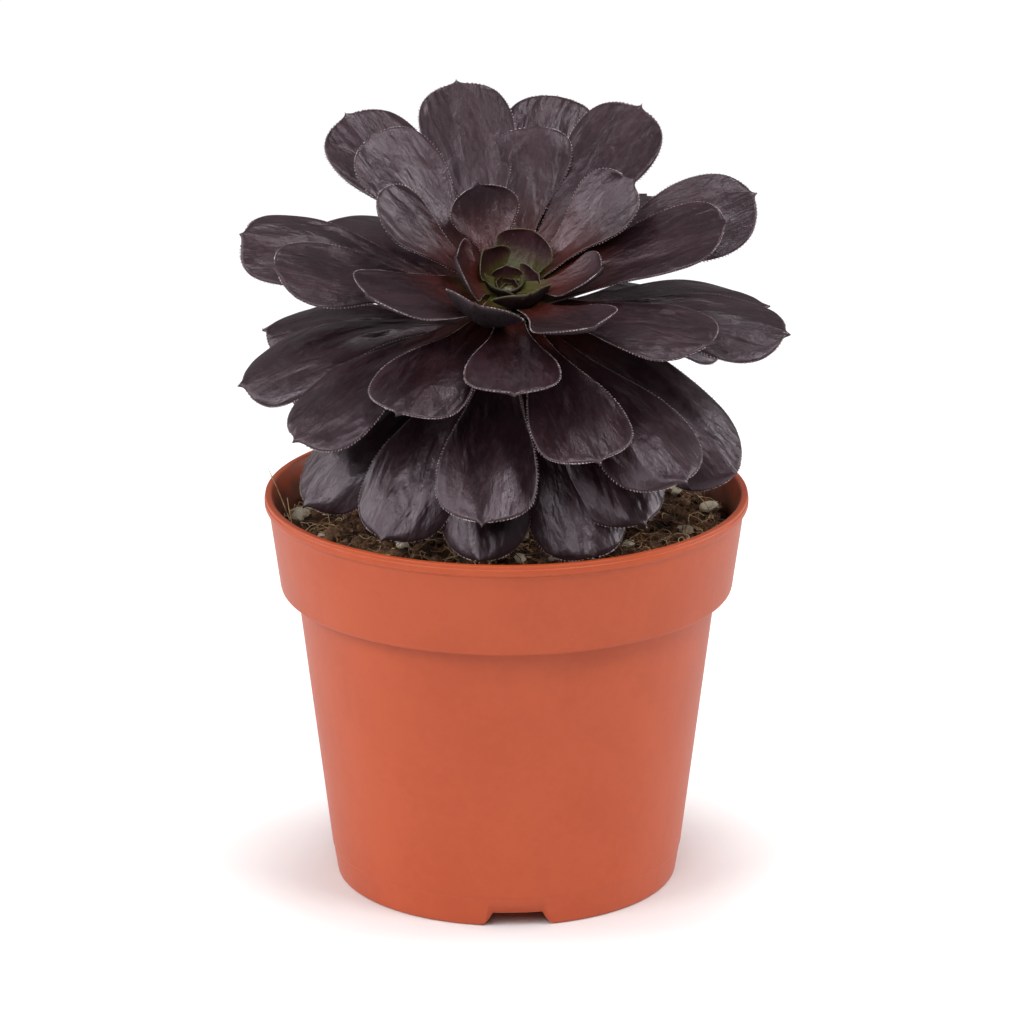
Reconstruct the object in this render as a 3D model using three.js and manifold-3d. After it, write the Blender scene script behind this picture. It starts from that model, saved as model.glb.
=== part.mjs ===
// A dark aeonium in a round nursery pot, at its real size.
// Millimetres, +Z up. The origin is on the ground, under the middle of the whole plant.
// The front of the plant, towards which the rosette leans, is -Y.
// Every piece is built about the pot's own axis, and the group then moves to the origin.

import * as THREE from 'three';
import { mergeVertices } from 'three/addons/utils/BufferGeometryUtils.js';
import Module from 'manifold-3d';

const wasm = await Module();
wasm.setup();

// ---------------------------------------------------------------------------
// Driving dimensions

const GAP = 0.3; // clearance between pieces that touch
const HEART_GAP = 0.4; // clearance round the heart in its seat between the dark leaves
const SLIVER = 0.02; // edges shorter than this are closed up

// Pot
const POT_HEIGHT = 99.2;
const LIP_RADIUS = 60;
const LIP_HEIGHT = 3;
const LIP_WIDTH = 1.8;
const ROUNDING = 0.7; // of the lip's and the foot's edges
const STEP = 0.4; // height of the small steps at the collar and the mould line
const WALL = 1.1;
const COLLAR_TOP_RADIUS = 59;
const COLLAR_LOW_RADIUS = 56.1;
const COLLAR_LOW_Z = 75;
const BODY_TOP_RADIUS = 52.2;
const MOULD_LINE_RADIUS = 43.7;
const MOULD_LINE_Z = 7.5;
const FOOT_RADIUS = 42.5;
const FOOT_RING_WIDTH = 1.9;
const FLOOR_UNDERSIDE_Z = 4.4;
const FLOOR_Z = FLOOR_UNDERSIDE_Z + WALL;
const FLOOR_RADIUS = FOOT_RADIUS - 3;
const FLOOR_FILLET = 2;
const LEDGE_LOW_Z = COLLAR_LOW_Z + 0.1; // where the wall steps out into the collar, inside
const LEDGE_TOP_Z = LEDGE_LOW_Z + 4;
const POT_SIDES = 64;
const NOTCH_COUNT = 3;
const NOTCH_HEIGHT = 3.85;
const NOTCH_TOP_WIDTH = 12.3;
const NOTCH_SHOULDER_WIDTH = 15.1;
const NOTCH_SHOULDER_Z = 1.1;
const NOTCH_FOOT_WIDTH = 17.6;
const FRONT_NOTCH_AZIMUTH = -86.3;
const DRAIN_HOLE_RADIUS = 3.5;
const DRAIN_CIRCLE_RADIUS = 24;
const DRAIN_HOLE_COUNT = 6;

// Soil
const SOIL_Z = 88.2;
const SOIL_SWELL = 2.6; // how much higher the middle lies than the edge
const SOIL_SIDES = 36;
const SOIL_RINGS = 7;
const LUMP_HEIGHT = 1.1;
const GRAIN_COUNT = 26;
const GRAIN_RADII = [1.2, 2.5];
const STEM_HOLE_DEPTH = 24;

// Stem
const STEM_RADIUS = 5.4;
const STEM_TOP_RADIUS = 6.2;
const STEM_FOOT = new THREE.Vector3(0, 13, SOIL_Z - STEM_HOLE_DEPTH + 2);
const STEM_BEND = new THREE.Vector3(0, 13.6, 117.5);
const STEM_SIDES = 12;
const STEM_STEPS = 14;
const SCAR_DEPTH = 0.45;
const FIRST_SCAR = 0.4; // share of the stem's height where the leaf scars begin

// Rosette
const ROSETTE_LEAN = 24; // degrees, towards the front
const APEX = new THREE.Vector3(0.4, -2, 152.8);
const GOLDEN_ANGLE = 137.508;
const FIRST_AZIMUTH = 201;
const OLDEST_LEAF = 47;
const YOUNGEST_LEAF = -9;
const CROWN_DEPTH = 18.4;
const CROWN_RADIUS = 6.4;
const CROWN_TOP_RADIUS = 4.2;
const LEAF_SPACING = 0.34; // how much lower down the crown each older leaf sits
const LEAF_LENGTH = 66;
const SEEDLING_LENGTH = 20; // of the youngest dark leaf, next to the heart
const LEAF_WIDTH = 24.8;
const MIDRIB_THICKNESS = [2.4, 1.3]; // of a full leaf, at the root and at the tip
const WIDEST = 0.77; // where a leaf is widest, as a share of its length
const NECK = 0.3; // width at the root, as a share of the widest
const RIM_THICKNESS = 0.7;
const MUCRO_LENGTH = 1.5;
const LOST_LEAVES = [18, 45];
const FACING = 9; // degrees that the leaves at the sides roll towards the front
const STATIONS = [0, 0.34, 0.58, 0.77, 0.89, 0.96, 0.99]; // cross-sections along a leaf
const YOUNG_STATIONS = [0, 0.45, 0.77, 0.93];
const ACROSS = [-1, -0.42, 0.42, 1]; // corners of a cross-section, as shares of its half width

// How single leaves stand off the spiral's rule, from the youngest to the oldest: turned
// about the axis, raised, rolled and curled in degrees, and longer in millimetres.
const STRAYS = {
  [-4]: { turn: -13, longer: -2, raise: -21 },
  [-3]: { longer: -2 },
  [-2]: { turn: 4, longer: 2, raise: -13 },
  [-1]: { turn: -6, longer: -4, raise: -4 },
  0: { turn: 4, longer: -3, raise: 5 },
  1: { turn: -3, raise: -8 },
  2: { turn: -3, longer: -7 },
  3: { curl: 12 },
  4: { turn: -3, raise: -3 },
  5: { turn: 3, longer: -6, raise: 13, roll: -8 },
  6: { turn: -7 },
  7: { turn: -3, longer: -4, raise: -12, roll: -9 },
  8: { turn: 3, raise: 3 },
  9: { longer: 2 },
  10: { longer: -4, raise: -6 },
  13: { turn: 4, raise: -5 },
  15: { raise: -4 },
  16: { turn: 4 },
  19: { turn: -4 },
  20: { turn: 8, raise: -5 },
  21: { turn: 12, raise: -14 },
  22: { longer: 2 },
  23: { turn: 4 },
  24: { turn: 4, raise: -8 },
  25: { turn: 8, longer: -3, raise: -14 },
  26: { turn: -4, raise: 6 },
  27: { turn: -5 },
  28: { raise: -6 },
  29: { turn: 14, raise: -13 },
  30: { turn: 3, longer: -3, raise: -3, roll: -12 },
  31: { turn: -6, longer: -3, raise: -15 },
  32: { turn: 4, raise: -4 },
  33: { raise: -8 },
  35: { turn: -5, raise: -4 },
  36: { raise: -8 },
  37: { turn: 15 },
  38: { turn: 6, raise: -24 },
  39: { raise: -26 },
  40: { longer: -2, raise: 8 },
  41: { raise: -8 },
  42: { turn: 4, raise: -3 },
  43: { turn: 25, longer: -7, raise: -4, roll: -8 },
  44: { raise: -12 },
  46: { turn: 6, raise: -22 },
  47: { turn: -12, longer: -4, raise: 3, roll: 12 },
};

// ---------------------------------------------------------------------------
// Solids and nodes

/** A three.js geometry as a solid. */
function solidOf(geometry) {
  const plain = geometry.clone();
  plain.deleteAttribute('normal');
  plain.deleteAttribute('uv');
  const merged = mergeVertices(plain, 1e-4);
  const corners = merged.index.array;
  const kept = [];
  for (let i = 0; i < corners.length; i += 3) {
    const [a, b, c] = [corners[i], corners[i + 1], corners[i + 2]];
    if (a !== b && b !== c && c !== a) kept.push(a, b, c);
  }
  return new wasm.Manifold(new wasm.Mesh({
    numProp: 3,
    vertProperties: new Float32Array(merged.attributes.position.array),
    triVerts: new Uint32Array(kept),
  }));
}

/** The biggest body of a solid, without the loose scraps a cut may leave. */
function mainBody(solid) {
  const bodies = solid.decompose();
  return bodies.reduce((best, body) => (body.volume() > best.volume() ? body : best));
}

/** A solid as a named mesh with its finish, without the slivers that joins and cuts leave. */
function nodeOf(name, solid, color, roughness) {
  const { vertProperties, triVerts } = solid.asOriginal().simplify(SLIVER).getMesh();
  const geometry = new THREE.BufferGeometry();
  geometry.setAttribute('position', new THREE.BufferAttribute(vertProperties, 3));
  geometry.setIndex(new THREE.BufferAttribute(triVerts, 1));
  geometry.computeVertexNormals();
  const material = new THREE.MeshStandardMaterial({ color, roughness, metalness: 0 });
  const mesh = new THREE.Mesh(geometry, material);
  mesh.name = name;
  return mesh;
}

/** A closed body through rings of points, which run counterclockwise about the way they advance. */
function loft(rings, flips = () => false) {
  const count = rings[0].length;
  const positions = rings.flat().flatMap((point) => point.toArray());
  const faces = [];
  const at = (ring, side) => ring * count + (side % count);
  for (let ring = 0; ring + 1 < rings.length; ring += 1) {
    for (let side = 0; side < count; side += 1) {
      const [a, b] = [at(ring, side), at(ring, side + 1)];
      const [c, d] = [at(ring + 1, side + 1), at(ring + 1, side)];
      if (flips(side)) faces.push(a, b, d, b, c, d);
      else faces.push(a, b, c, a, c, d);
    }
  }
  const last = rings.length - 1;
  for (let side = 1; side + 1 < count; side += 1) {
    faces.push(at(0, 0), at(0, side + 1), at(0, side));
    faces.push(at(last, 0), at(last, side), at(last, side + 1));
  }
  const geometry = new THREE.BufferGeometry();
  geometry.setAttribute('position', new THREE.Float32BufferAttribute(positions, 3));
  geometry.setIndex(faces);
  return solidOf(geometry);
}

/** A body of revolution about Z from a profile of [radius, height] pairs. */
function turned(profile, sides) {
  const points = profile.map(([radius, height]) => new THREE.Vector2(radius, height));
  return solidOf(new THREE.LatheGeometry(points, sides).rotateX(Math.PI / 2));
}

/** The same random numbers on every run. */
function seededRandom(seed) {
  let state = seed;
  return () => {
    state = (state * 1664525 + 1013904223) % 4294967296;
    return state / 4294967296;
  };
}

const radians = THREE.MathUtils.degToRad;

// ---------------------------------------------------------------------------
// Pot

/** Inner radius of the pot's wall at a height. */
function potInside(z) {
  const { lerp } = THREE.MathUtils;
  if (z >= COLLAR_LOW_Z) {
    const part = (z - COLLAR_LOW_Z) / (POT_HEIGHT - COLLAR_LOW_Z);
    return lerp(COLLAR_LOW_RADIUS, COLLAR_TOP_RADIUS, part) - WALL;
  }
  const part = (z - MOULD_LINE_Z) / (COLLAR_LOW_Z - MOULD_LINE_Z);
  return lerp(MOULD_LINE_RADIUS, BODY_TOP_RADIUS, part) - WALL;
}

/** The pot: one moulded piece with lip, collar, wall, raised floor, notched foot and drain holes. */
function potSolid() {
  const ringInside = FOOT_RADIUS - FOOT_RING_WIDTH;
  const lipInside = LIP_RADIUS - LIP_WIDTH;
  const lipLowZ = POT_HEIGHT - LIP_HEIGHT;
  const skirtTopZ = lipLowZ - 4 * STEP;
  let pot = turned([
    [0, FLOOR_UNDERSIDE_Z],
    [ringInside - STEP, FLOOR_UNDERSIDE_Z],
    [ringInside, 0],
    [FOOT_RADIUS - ROUNDING, 0],
    [FOOT_RADIUS, ROUNDING],
    [MOULD_LINE_RADIUS, MOULD_LINE_Z],
    [MOULD_LINE_RADIUS + STEP / 2, MOULD_LINE_Z + STEP],
    [BODY_TOP_RADIUS, COLLAR_LOW_Z + STEP],
    [COLLAR_LOW_RADIUS - STEP, COLLAR_LOW_Z],
    [COLLAR_LOW_RADIUS, COLLAR_LOW_Z + STEP],
    [COLLAR_TOP_RADIUS - STEP, skirtTopZ],
    [COLLAR_TOP_RADIUS, lipLowZ - STEP],
    [LIP_RADIUS, lipLowZ + ROUNDING],
    [LIP_RADIUS, POT_HEIGHT - ROUNDING],
    [LIP_RADIUS - ROUNDING, POT_HEIGHT],
    [lipInside + STEP, POT_HEIGHT],
    [lipInside - STEP, POT_HEIGHT - 2 * ROUNDING],
    [potInside(LEDGE_TOP_Z), LEDGE_TOP_Z],
    [BODY_TOP_RADIUS - WALL, LEDGE_LOW_Z],
    [potInside(FLOOR_Z + FLOOR_FILLET), FLOOR_Z + FLOOR_FILLET],
    [FLOOR_RADIUS, FLOOR_Z],
    [0, FLOOR_Z],
  ], POT_SIDES);

  const notch = new THREE.Shape();
  notch.moveTo(-NOTCH_FOOT_WIDTH / 2, -1);
  notch.lineTo(NOTCH_FOOT_WIDTH / 2, -1);
  notch.lineTo(NOTCH_SHOULDER_WIDTH / 2, NOTCH_SHOULDER_Z);
  notch.lineTo(NOTCH_TOP_WIDTH / 2, NOTCH_HEIGHT);
  notch.lineTo(-NOTCH_TOP_WIDTH / 2, NOTCH_HEIGHT);
  notch.lineTo(-NOTCH_SHOULDER_WIDTH / 2, NOTCH_SHOULDER_Z);
  const notchDepth = 6 * FOOT_RING_WIDTH;
  for (let i = 0; i < NOTCH_COUNT; i += 1) {
    const cut = new THREE.ExtrudeGeometry(notch, { depth: notchDepth, bevelEnabled: false });
    cut.rotateX(Math.PI / 2).translate(0, notchDepth / 2 - FOOT_RADIUS, 0);
    cut.rotateZ(radians(FRONT_NOTCH_AZIMUTH + 90 + (i * 360) / NOTCH_COUNT));
    pot = pot.subtract(solidOf(cut));
  }
  for (let i = 0; i < DRAIN_HOLE_COUNT; i += 1) {
    const drain = new THREE.CylinderGeometry(DRAIN_HOLE_RADIUS, DRAIN_HOLE_RADIUS, 4 * WALL, 12);
    const angle = radians(((i + 0.5) * 360) / DRAIN_HOLE_COUNT);
    const [x, y] = [DRAIN_CIRCLE_RADIUS * Math.cos(angle), DRAIN_CIRCLE_RADIUS * Math.sin(angle)];
    drain.rotateX(Math.PI / 2).translate(x, y, FLOOR_UNDERSIDE_Z);
    pot = pot.subtract(solidOf(drain));
  }
  return pot;
}

// ---------------------------------------------------------------------------
// Soil

/** Height of the soil's lumpy surface at a place. */
function soilHeight(x, y) {
  const reach = Math.hypot(x, y) / LIP_RADIUS;
  const swell = SOIL_SWELL * (1 - reach * reach);
  const broad = Math.sin(x * 0.21 + 1.3) * Math.cos(y * 0.19 - 0.4);
  const fine = Math.sin(x * 0.63 + y * 0.37) * Math.sin(y * 0.71 - x * 0.29 + 2);
  return SOIL_Z + swell + LUMP_HEIGHT * (0.6 * broad + 0.5 * fine);
}

/** The peat mix: it fills the pot, with a lumpy top, mineral grains and a hole for the stem. */
function soilSolid() {
  const ring = (radius, height) => Array.from({ length: SOIL_SIDES }, (_, side) => {
    const angle = (side / SOIL_SIDES) * 2 * Math.PI;
    const [x, y] = [radius * Math.cos(angle), radius * Math.sin(angle)];
    return new THREE.Vector3(x, y, height ?? soilHeight(x, y));
  });
  const floorZ = FLOOR_Z + GAP;
  const chord = Math.cos(Math.PI / POT_SIDES); // flats of the pot's wall lie this much nearer
  const inside = (z) => potInside(z) * chord - GAP;
  const edge = inside(SOIL_Z - LUMP_HEIGHT * 1.1);
  const rings = [
    ring(0.01, floorZ),
    ring(FLOOR_RADIUS - GAP, floorZ),
    ring(inside(floorZ + FLOOR_FILLET), floorZ + FLOOR_FILLET),
    ring((BODY_TOP_RADIUS - WALL) * chord - GAP, LEDGE_LOW_Z + GAP),
    ring(inside(LEDGE_TOP_Z + GAP), LEDGE_TOP_Z + GAP),
  ];
  for (let i = 0; i < SOIL_RINGS; i += 1) {
    rings.push(ring(edge * (1 - i / SOIL_RINGS)));
  }
  rings.push(ring(0.01));
  let soil = loft(rings);

  const random = seededRandom(11);
  for (let i = 0; i < GRAIN_COUNT; i += 1) {
    const reach = edge * Math.sqrt(0.2 + 0.7 * random());
    const angle = random() * 2 * Math.PI;
    const size = THREE.MathUtils.lerp(...GRAIN_RADII, random());
    const [x, y] = [reach * Math.cos(angle), reach * Math.sin(angle)];
    const grain = new THREE.IcosahedronGeometry(size, 0);
    grain.rotateZ(random() * 6).scale(1.25, 0.9, 0.75).rotateZ(random() * 6);
    grain.translate(x, y, soilHeight(x, y) + size * 0.25);
    soil = soil.add(solidOf(grain));
  }
  const holeHeight = 2 * STEM_HOLE_DEPTH;
  const hole = new THREE.CylinderGeometry(STEM_RADIUS + GAP, STEM_RADIUS + GAP, holeHeight, STEM_SIDES);
  hole.rotateX(Math.PI / 2).translate(STEM_FOOT.x, STEM_FOOT.y, SOIL_Z);
  return soil.subtract(solidOf(hole));
}

// ---------------------------------------------------------------------------
// Rosette

const lean = radians(ROSETTE_LEAN);
const sideways = new THREE.Vector3(1, 0, 0);
const backwards = new THREE.Vector3(0, Math.cos(lean), Math.sin(lean));
const axis = new THREE.Vector3(0, -Math.sin(lean), Math.cos(lean));

/** A point of the rosette's own frame, whose third direction is the leaning axis. */
function onRosette(x, y, h) {
  return APEX.clone().addScaledVector(sideways, x).addScaledVector(backwards, y)
    .addScaledVector(axis, h);
}

/** Size and stance of the leaf of one age, by the spiral's rule and its own stray. */
function leafOf(age) {
  const stray = STRAYS[age] ?? {};
  const grown = Math.max(age, 0);
  const azimuth = radians(FIRST_AZIMUTH + GOLDEN_ANGLE * age + (stray.turn ?? 0));
  const growing = (LEAF_LENGTH - SEEDLING_LENGTH) * Math.exp(-age / 7.6);
  const fullLength = age > 0
    ? LEAF_LENGTH - growing - 0.15 * Math.max(0, age - 24)
    : SEEDLING_LENGTH * Math.exp(age / 4.2);
  const length = fullLength + (stray.longer ?? 0);
  const rise = 45 - 62 * (grown / 45) ** 0.8
    + (4 + 0.2 * grown) * Math.sin(azimuth)
    - 4 * Math.min(1, grown / 10) * Math.cos(azimuth)
    + (stray.raise ?? 0) - Math.min(age, 0) * 3;
  return {
    azimuth,
    length,
    rise: radians(rise),
    bend: radians((age > 0 ? 40 * Math.exp(-age / 7) - 0.5 * age : 40 - 2 * age) + (stray.curl ?? 0)),
    roll: radians(FACING * Math.cos(azimuth) + (stray.roll ?? 0)),
    width: LEAF_WIDTH * (fullLength / LEAF_LENGTH) ** 0.45,
    cup: 0.3 * Math.exp(-grown / 12) - 0.002 * grown,
    rootRadius: age > 0 ? 3 + 0.04 * age : 3 + 0.2 * age,
    rootHeight: age > 0 ? -LEAF_SPACING * age : -0.12 * age,
  };
}

/** Half the width of a leaf at a part of its length, as a share of its half width. */
function outline(part) {
  if (part <= WIDEST) {
    return NECK + (1 - NECK) * Math.sin((Math.PI / 2) * (part / WIDEST) ** 1.35) ** 2;
  }
  const past = (part - WIDEST) / (1 - WIDEST);
  return Math.sqrt(Math.max(0, 1 - past ** 2.3));
}

/** One leaf: a cupped spoon-shaped blade on an arched midrib, ending in a sharp point. */
function leafSolid(age, swell = 0) {
  const leaf = leafOf(age);
  const [rootThickness, tipThickness] = MIDRIB_THICKNESS;
  const thick = Math.max(1.3 * RIM_THICKNESS, rootThickness * Math.sqrt(leaf.length / LEAF_LENGTH));
  const outwards = [Math.cos(leaf.azimuth), Math.sin(leaf.azimuth)];
  const rings = [];
  let reach = leaf.rootRadius;
  let height = leaf.rootHeight;
  let reached = 0;
  const addRing = (part, halfWidth, cup) => {
    const steps = 6;
    const angleAt = (share) => leaf.rise + leaf.bend * (share - 0.5);
    for (let step = 0; step < steps; step += 1) {
      const middle = reached + ((part - reached) * (step + 0.5)) / steps;
      const stride = ((part - reached) / steps) * leaf.length;
      reach += stride * Math.cos(angleAt(middle));
      height += stride * Math.sin(angleAt(middle));
    }
    reached = part;
    const angle = angleAt(part);
    const centre = THREE.MathUtils.lerp(thick, Math.min(thick, tipThickness), Math.min(part, 1));
    const place = (across, drop) => {
      const flatSide = (halfWidth + swell) * across;
      const flatLift = cup * halfWidth * across * across - drop;
      const side = flatSide * Math.cos(leaf.roll) - flatLift * Math.sin(leaf.roll);
      const lift = flatSide * Math.sin(leaf.roll) + flatLift * Math.cos(leaf.roll);
      const out = reach - lift * Math.sin(angle);
      const x = out * outwards[0] - side * outwards[1];
      const y = out * outwards[1] + side * outwards[0];
      return onRosette(x, y, height + lift * Math.cos(angle));
    };
    const drop = (across) => RIM_THICKNESS + (centre - RIM_THICKNESS) * (1 - across * across);
    const upper = ACROSS.map((across) => place(-across, -swell));
    const lower = ACROSS.map((across) => place(across, drop(across) + swell));
    rings.push([...upper, ...lower]);
  };
  const half = leaf.width / 2;
  for (const part of age < 0 ? YOUNG_STATIONS : STATIONS) {
    addRing(part, half * outline(part), leaf.cup);
  }
  addRing(1, 1, leaf.cup);
  addRing(1 + MUCRO_LENGTH / leaf.length, 0.3, 0);
  return loft(rings, (side) => side === 0 || side === 6);
}

/** The crown: the short thick top of the stem that the leaves grow from. */
function crownSolid(top, topRadius, bottom, bottomRadius) {
  const rings = [];
  for (const share of [0, 0.3, 0.6, 0.85, 1]) {
    const height = THREE.MathUtils.lerp(bottom, top, share);
    const radius = THREE.MathUtils.lerp(bottomRadius, topRadius, share ** 5);
    rings.push(Array.from({ length: STEM_SIDES }, (_, side) => {
      const angle = (side / STEM_SIDES) * 2 * Math.PI;
      return onRosette(radius * Math.cos(angle), radius * Math.sin(angle), height);
    }));
  }
  return loft(rings);
}

/** The leaves from one age to another, grown together with their crown. */
function leaves(youngest, oldest, crown, swell = 0) {
  const blades = [];
  for (let age = youngest; age <= oldest; age += 1) {
    if (!LOST_LEAVES.includes(age)) blades.push(leafSolid(age, swell));
  }
  return wasm.Manifold.union([crown, ...blades]);
}

// ---------------------------------------------------------------------------
// Stem

/** The woody stem, with the ring-shaped scars of fallen leaves, from the soil to the crown. */
function stemSolid() {
  const top = onRosette(0, 0, -CROWN_DEPTH - GAP);
  const route = new THREE.QuadraticBezierCurve3(STEM_FOOT, STEM_BEND, top);
  const rings = [];
  for (let step = 0; step <= STEM_STEPS; step += 1) {
    const share = step / STEM_STEPS;
    const centre = route.getPoint(share);
    const along = route.getTangent(share);
    const front = new THREE.Vector3().crossVectors(along, sideways).normalize();
    const scar = share > FIRST_SCAR ? SCAR_DEPTH * (step % 2) : 0;
    const radius = THREE.MathUtils.lerp(STEM_RADIUS - GAP, STEM_TOP_RADIUS, share ** 2) - scar;
    rings.push(Array.from({ length: STEM_SIDES }, (_, side) => {
      const angle = (side / STEM_SIDES) * 2 * Math.PI;
      return centre.clone().addScaledVector(sideways, radius * Math.cos(angle))
        .addScaledVector(front, radius * Math.sin(angle));
    }));
  }
  return loft(rings);
}

// ---------------------------------------------------------------------------
// The whole plant in its pot

/** The growing tip with the young leaves, or the room that it needs if swollen by the gap. */
function heartSolid(swell = 0) {
  const tip = crownSolid(2 + swell, 1 + swell, -2.2 - swell, 2.1 + swell);
  return leaves(YOUNGEST_LEAF, -1, tip, swell);
}

/** The dark leaves on the crown, which the heart stands in. */
function rosetteSolid() {
  const crown = crownSolid(-1, CROWN_TOP_RADIUS, -CROWN_DEPTH, CROWN_RADIUS);
  return leaves(0, OLDEST_LEAF, crown).subtract(heartSolid(HEART_GAP));
}

const plant = new THREE.Group();
plant.add(nodeOf('pot', potSolid(), 0xc5613f, 0.45));
plant.add(nodeOf('soil', mainBody(soilSolid()), 0x33231a, 0.95));
plant.add(nodeOf('stem', stemSolid(), 0x7a6450, 0.85));
plant.add(nodeOf('rosette', mainBody(rosetteSolid()), 0x2f2128, 0.42));
plant.add(nodeOf('heart', mainBody(heartSolid()), 0x4d4a22, 0.45));

const middle = new THREE.Box3().setFromObject(plant).getCenter(new THREE.Vector3());
plant.position.set(-middle.x, -middle.y, 0);

export default plant;
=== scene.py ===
"""Looks of a dark aeonium in a round nursery pot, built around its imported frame.

Sizes in the classes are millimetres, as on the plant; meshes are written in metres.
"""

import logging
import math
import random
from collections.abc import Callable, Iterable
from dataclasses import dataclass, field
from enum import Enum

import bmesh
import bpy
from mathutils import Matrix, Vector
from mathutils.noise import noise

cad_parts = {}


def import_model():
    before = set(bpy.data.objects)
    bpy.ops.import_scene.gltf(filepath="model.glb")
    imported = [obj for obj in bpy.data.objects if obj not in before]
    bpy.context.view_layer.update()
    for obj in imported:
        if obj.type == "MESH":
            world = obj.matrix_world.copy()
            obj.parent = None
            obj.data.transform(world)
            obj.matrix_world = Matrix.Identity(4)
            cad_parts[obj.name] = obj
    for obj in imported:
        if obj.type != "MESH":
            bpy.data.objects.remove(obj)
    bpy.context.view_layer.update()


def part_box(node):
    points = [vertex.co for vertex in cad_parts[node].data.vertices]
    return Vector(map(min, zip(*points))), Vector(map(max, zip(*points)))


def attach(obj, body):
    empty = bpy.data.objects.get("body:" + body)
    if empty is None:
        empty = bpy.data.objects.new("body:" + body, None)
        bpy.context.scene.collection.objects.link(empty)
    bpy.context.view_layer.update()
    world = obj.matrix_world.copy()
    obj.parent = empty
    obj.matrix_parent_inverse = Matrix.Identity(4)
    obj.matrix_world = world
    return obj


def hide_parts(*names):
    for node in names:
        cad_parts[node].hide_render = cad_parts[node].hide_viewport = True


log = logging.getLogger("aeonium")

Colour = tuple[float, float, float]
Place = tuple[float, float, float]
Sockets = dict[str, bpy.types.NodeSocket]

MM = 0.001  # metres
WELD = 1e-6  # metres: vertices that lie nearer than this become one
TURN = 2 * math.pi  # radians
GOLDEN_ANGLE = 137.508  # degrees from one leaf to the next
BODY = "root"
PHOTO_WIDTH = 1024  # pixels; the photograph is square
LEAF_VALUES = ("youth", "tint", "under", "share", "rim")  # attributes that a leaf's skin reads
BLACK: Colour = (0.0, 0.0, 0.0)
WHITE: Colour = (1.0, 1.0, 1.0)


class Slot(Enum):
    """Material slot names."""

    POT = "pot_plastic"
    SOIL = "peat_mix"
    STEM = "stem_bark"
    LEAF = "dark_leaf"
    HEART = "heart_leaf"


# ---------------------------------------------------------------------------
# Small helpers


def smooth_step(low: float, high: float, value: float) -> float:
    """Returns the eased share of a value's way from low to high, which may lie below low."""
    share = min(1.0, max(0.0, (value - low) / (high - low)))
    return share * share * (3 - 2 * share)


def lerp(start: float, end: float, share: float) -> float:
    """Returns the value that lies at a share of the way from start to end."""
    return start + (end - start) * share


def facing(direction: Vector, place: Vector, turn: float) -> Matrix:
    """Returns the matrix that stands a turned piece on a place, with +Z along a direction."""
    stand = direction.to_track_quat("Z", "Y").to_matrix().to_4x4()
    return Matrix.Translation(place) @ stand @ Matrix.Rotation(turn, 4, "Z")


def mesh_from(bm: bmesh.types.BMesh, name: str) -> bpy.types.Mesh:
    """Makes a bmesh a mesh.

    Args:
        bm: The bmesh; it is freed.
        name: The mesh's name.

    Returns:
        The mesh.
    """
    mesh = bpy.data.meshes.new(name)
    bm.to_mesh(mesh)
    bm.free()
    return mesh


def evaluated_mesh(thing: bpy.types.Object) -> bpy.types.Mesh:
    """Returns the mesh that an object's modifiers or its curve make."""
    graph = bpy.context.evaluated_depsgraph_get()
    return bpy.data.meshes.new_from_object(thing.evaluated_get(graph))


def linked(name: str, data: bpy.types.ID) -> bpy.types.Object:
    """Puts an object into the scene.

    Args:
        name: Its name.
        data: Its mesh, curve, lamp or camera.

    Returns:
        The object.
    """
    thing = bpy.data.objects.new(name, data)
    bpy.context.scene.collection.objects.link(thing)
    return thing


def absorb(bm: bmesh.types.BMesh, part: bmesh.types.BMesh) -> None:
    """Adds a part to a bmesh.

    Args:
        bm: The bmesh.
        part: The part; it is freed.
    """
    mesh = mesh_from(part, "part")
    bm.from_mesh(mesh)
    bpy.data.meshes.remove(mesh)


def spun(section: Iterable[tuple[float, float]], steps: int) -> bmesh.types.BMesh:
    """Turns a section about the Z axis into a shell.

    Args:
        section: Radius and height of its points, from the axis round to the axis.
        steps: How many parts a full turn has.

    Returns:
        The shell, in metres.
    """
    bm = bmesh.new()
    verts = [bm.verts.new((radius * MM, 0, z * MM)) for radius, z in section]
    edges = [bm.edges.new(pair) for pair in zip(verts, verts[1:])]
    bmesh.ops.spin(
        bm,
        geom=verts + edges,
        cent=(0, 0, 0),
        axis=(0, 0, 1),
        angle=TURN,
        steps=steps,
        use_merge=True,
    )
    bmesh.ops.remove_doubles(bm, verts=bm.verts[:], dist=WELD)
    return bm


def settle(bm: bmesh.types.BMesh, place: Vector) -> None:
    """Turns the faces of a closed shape outwards and moves it to its place."""
    bmesh.ops.recalc_face_normals(bm, faces=bm.faces[:])
    bmesh.ops.translate(bm, verts=bm.verts[:], vec=place)


def finish_piece(
    bm: bmesh.types.BMesh,
    name: str,
    material: bpy.types.Material,
    replaces: tuple[str, ...] = (),
    sharp: float = 180.0,
) -> bpy.types.Object:
    """Turns a bmesh into a piece of the plant that rides on its body.

    Args:
        bm: The mesh, in metres; it is freed.
        name: The piece's name.
        material: Its material.
        replaces: CAD nodes that it stands for.
        sharp: Angle in degrees past which an edge stays sharp.

    Returns:
        The new object, at the origin.
    """
    for edge in bm.edges:
        if len(edge.link_faces) == 2:
            edge.smooth = edge.calc_face_angle() < math.radians(sharp)
    for face in bm.faces:
        face.smooth = True
    mesh = mesh_from(bm, name)
    mesh.materials.append(material)
    piece = linked(name, mesh)
    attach(piece, BODY)
    if replaces:
        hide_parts(*replaces)
    log.info("%s: %d faces", name, len(mesh.polygons))
    return piece


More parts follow.
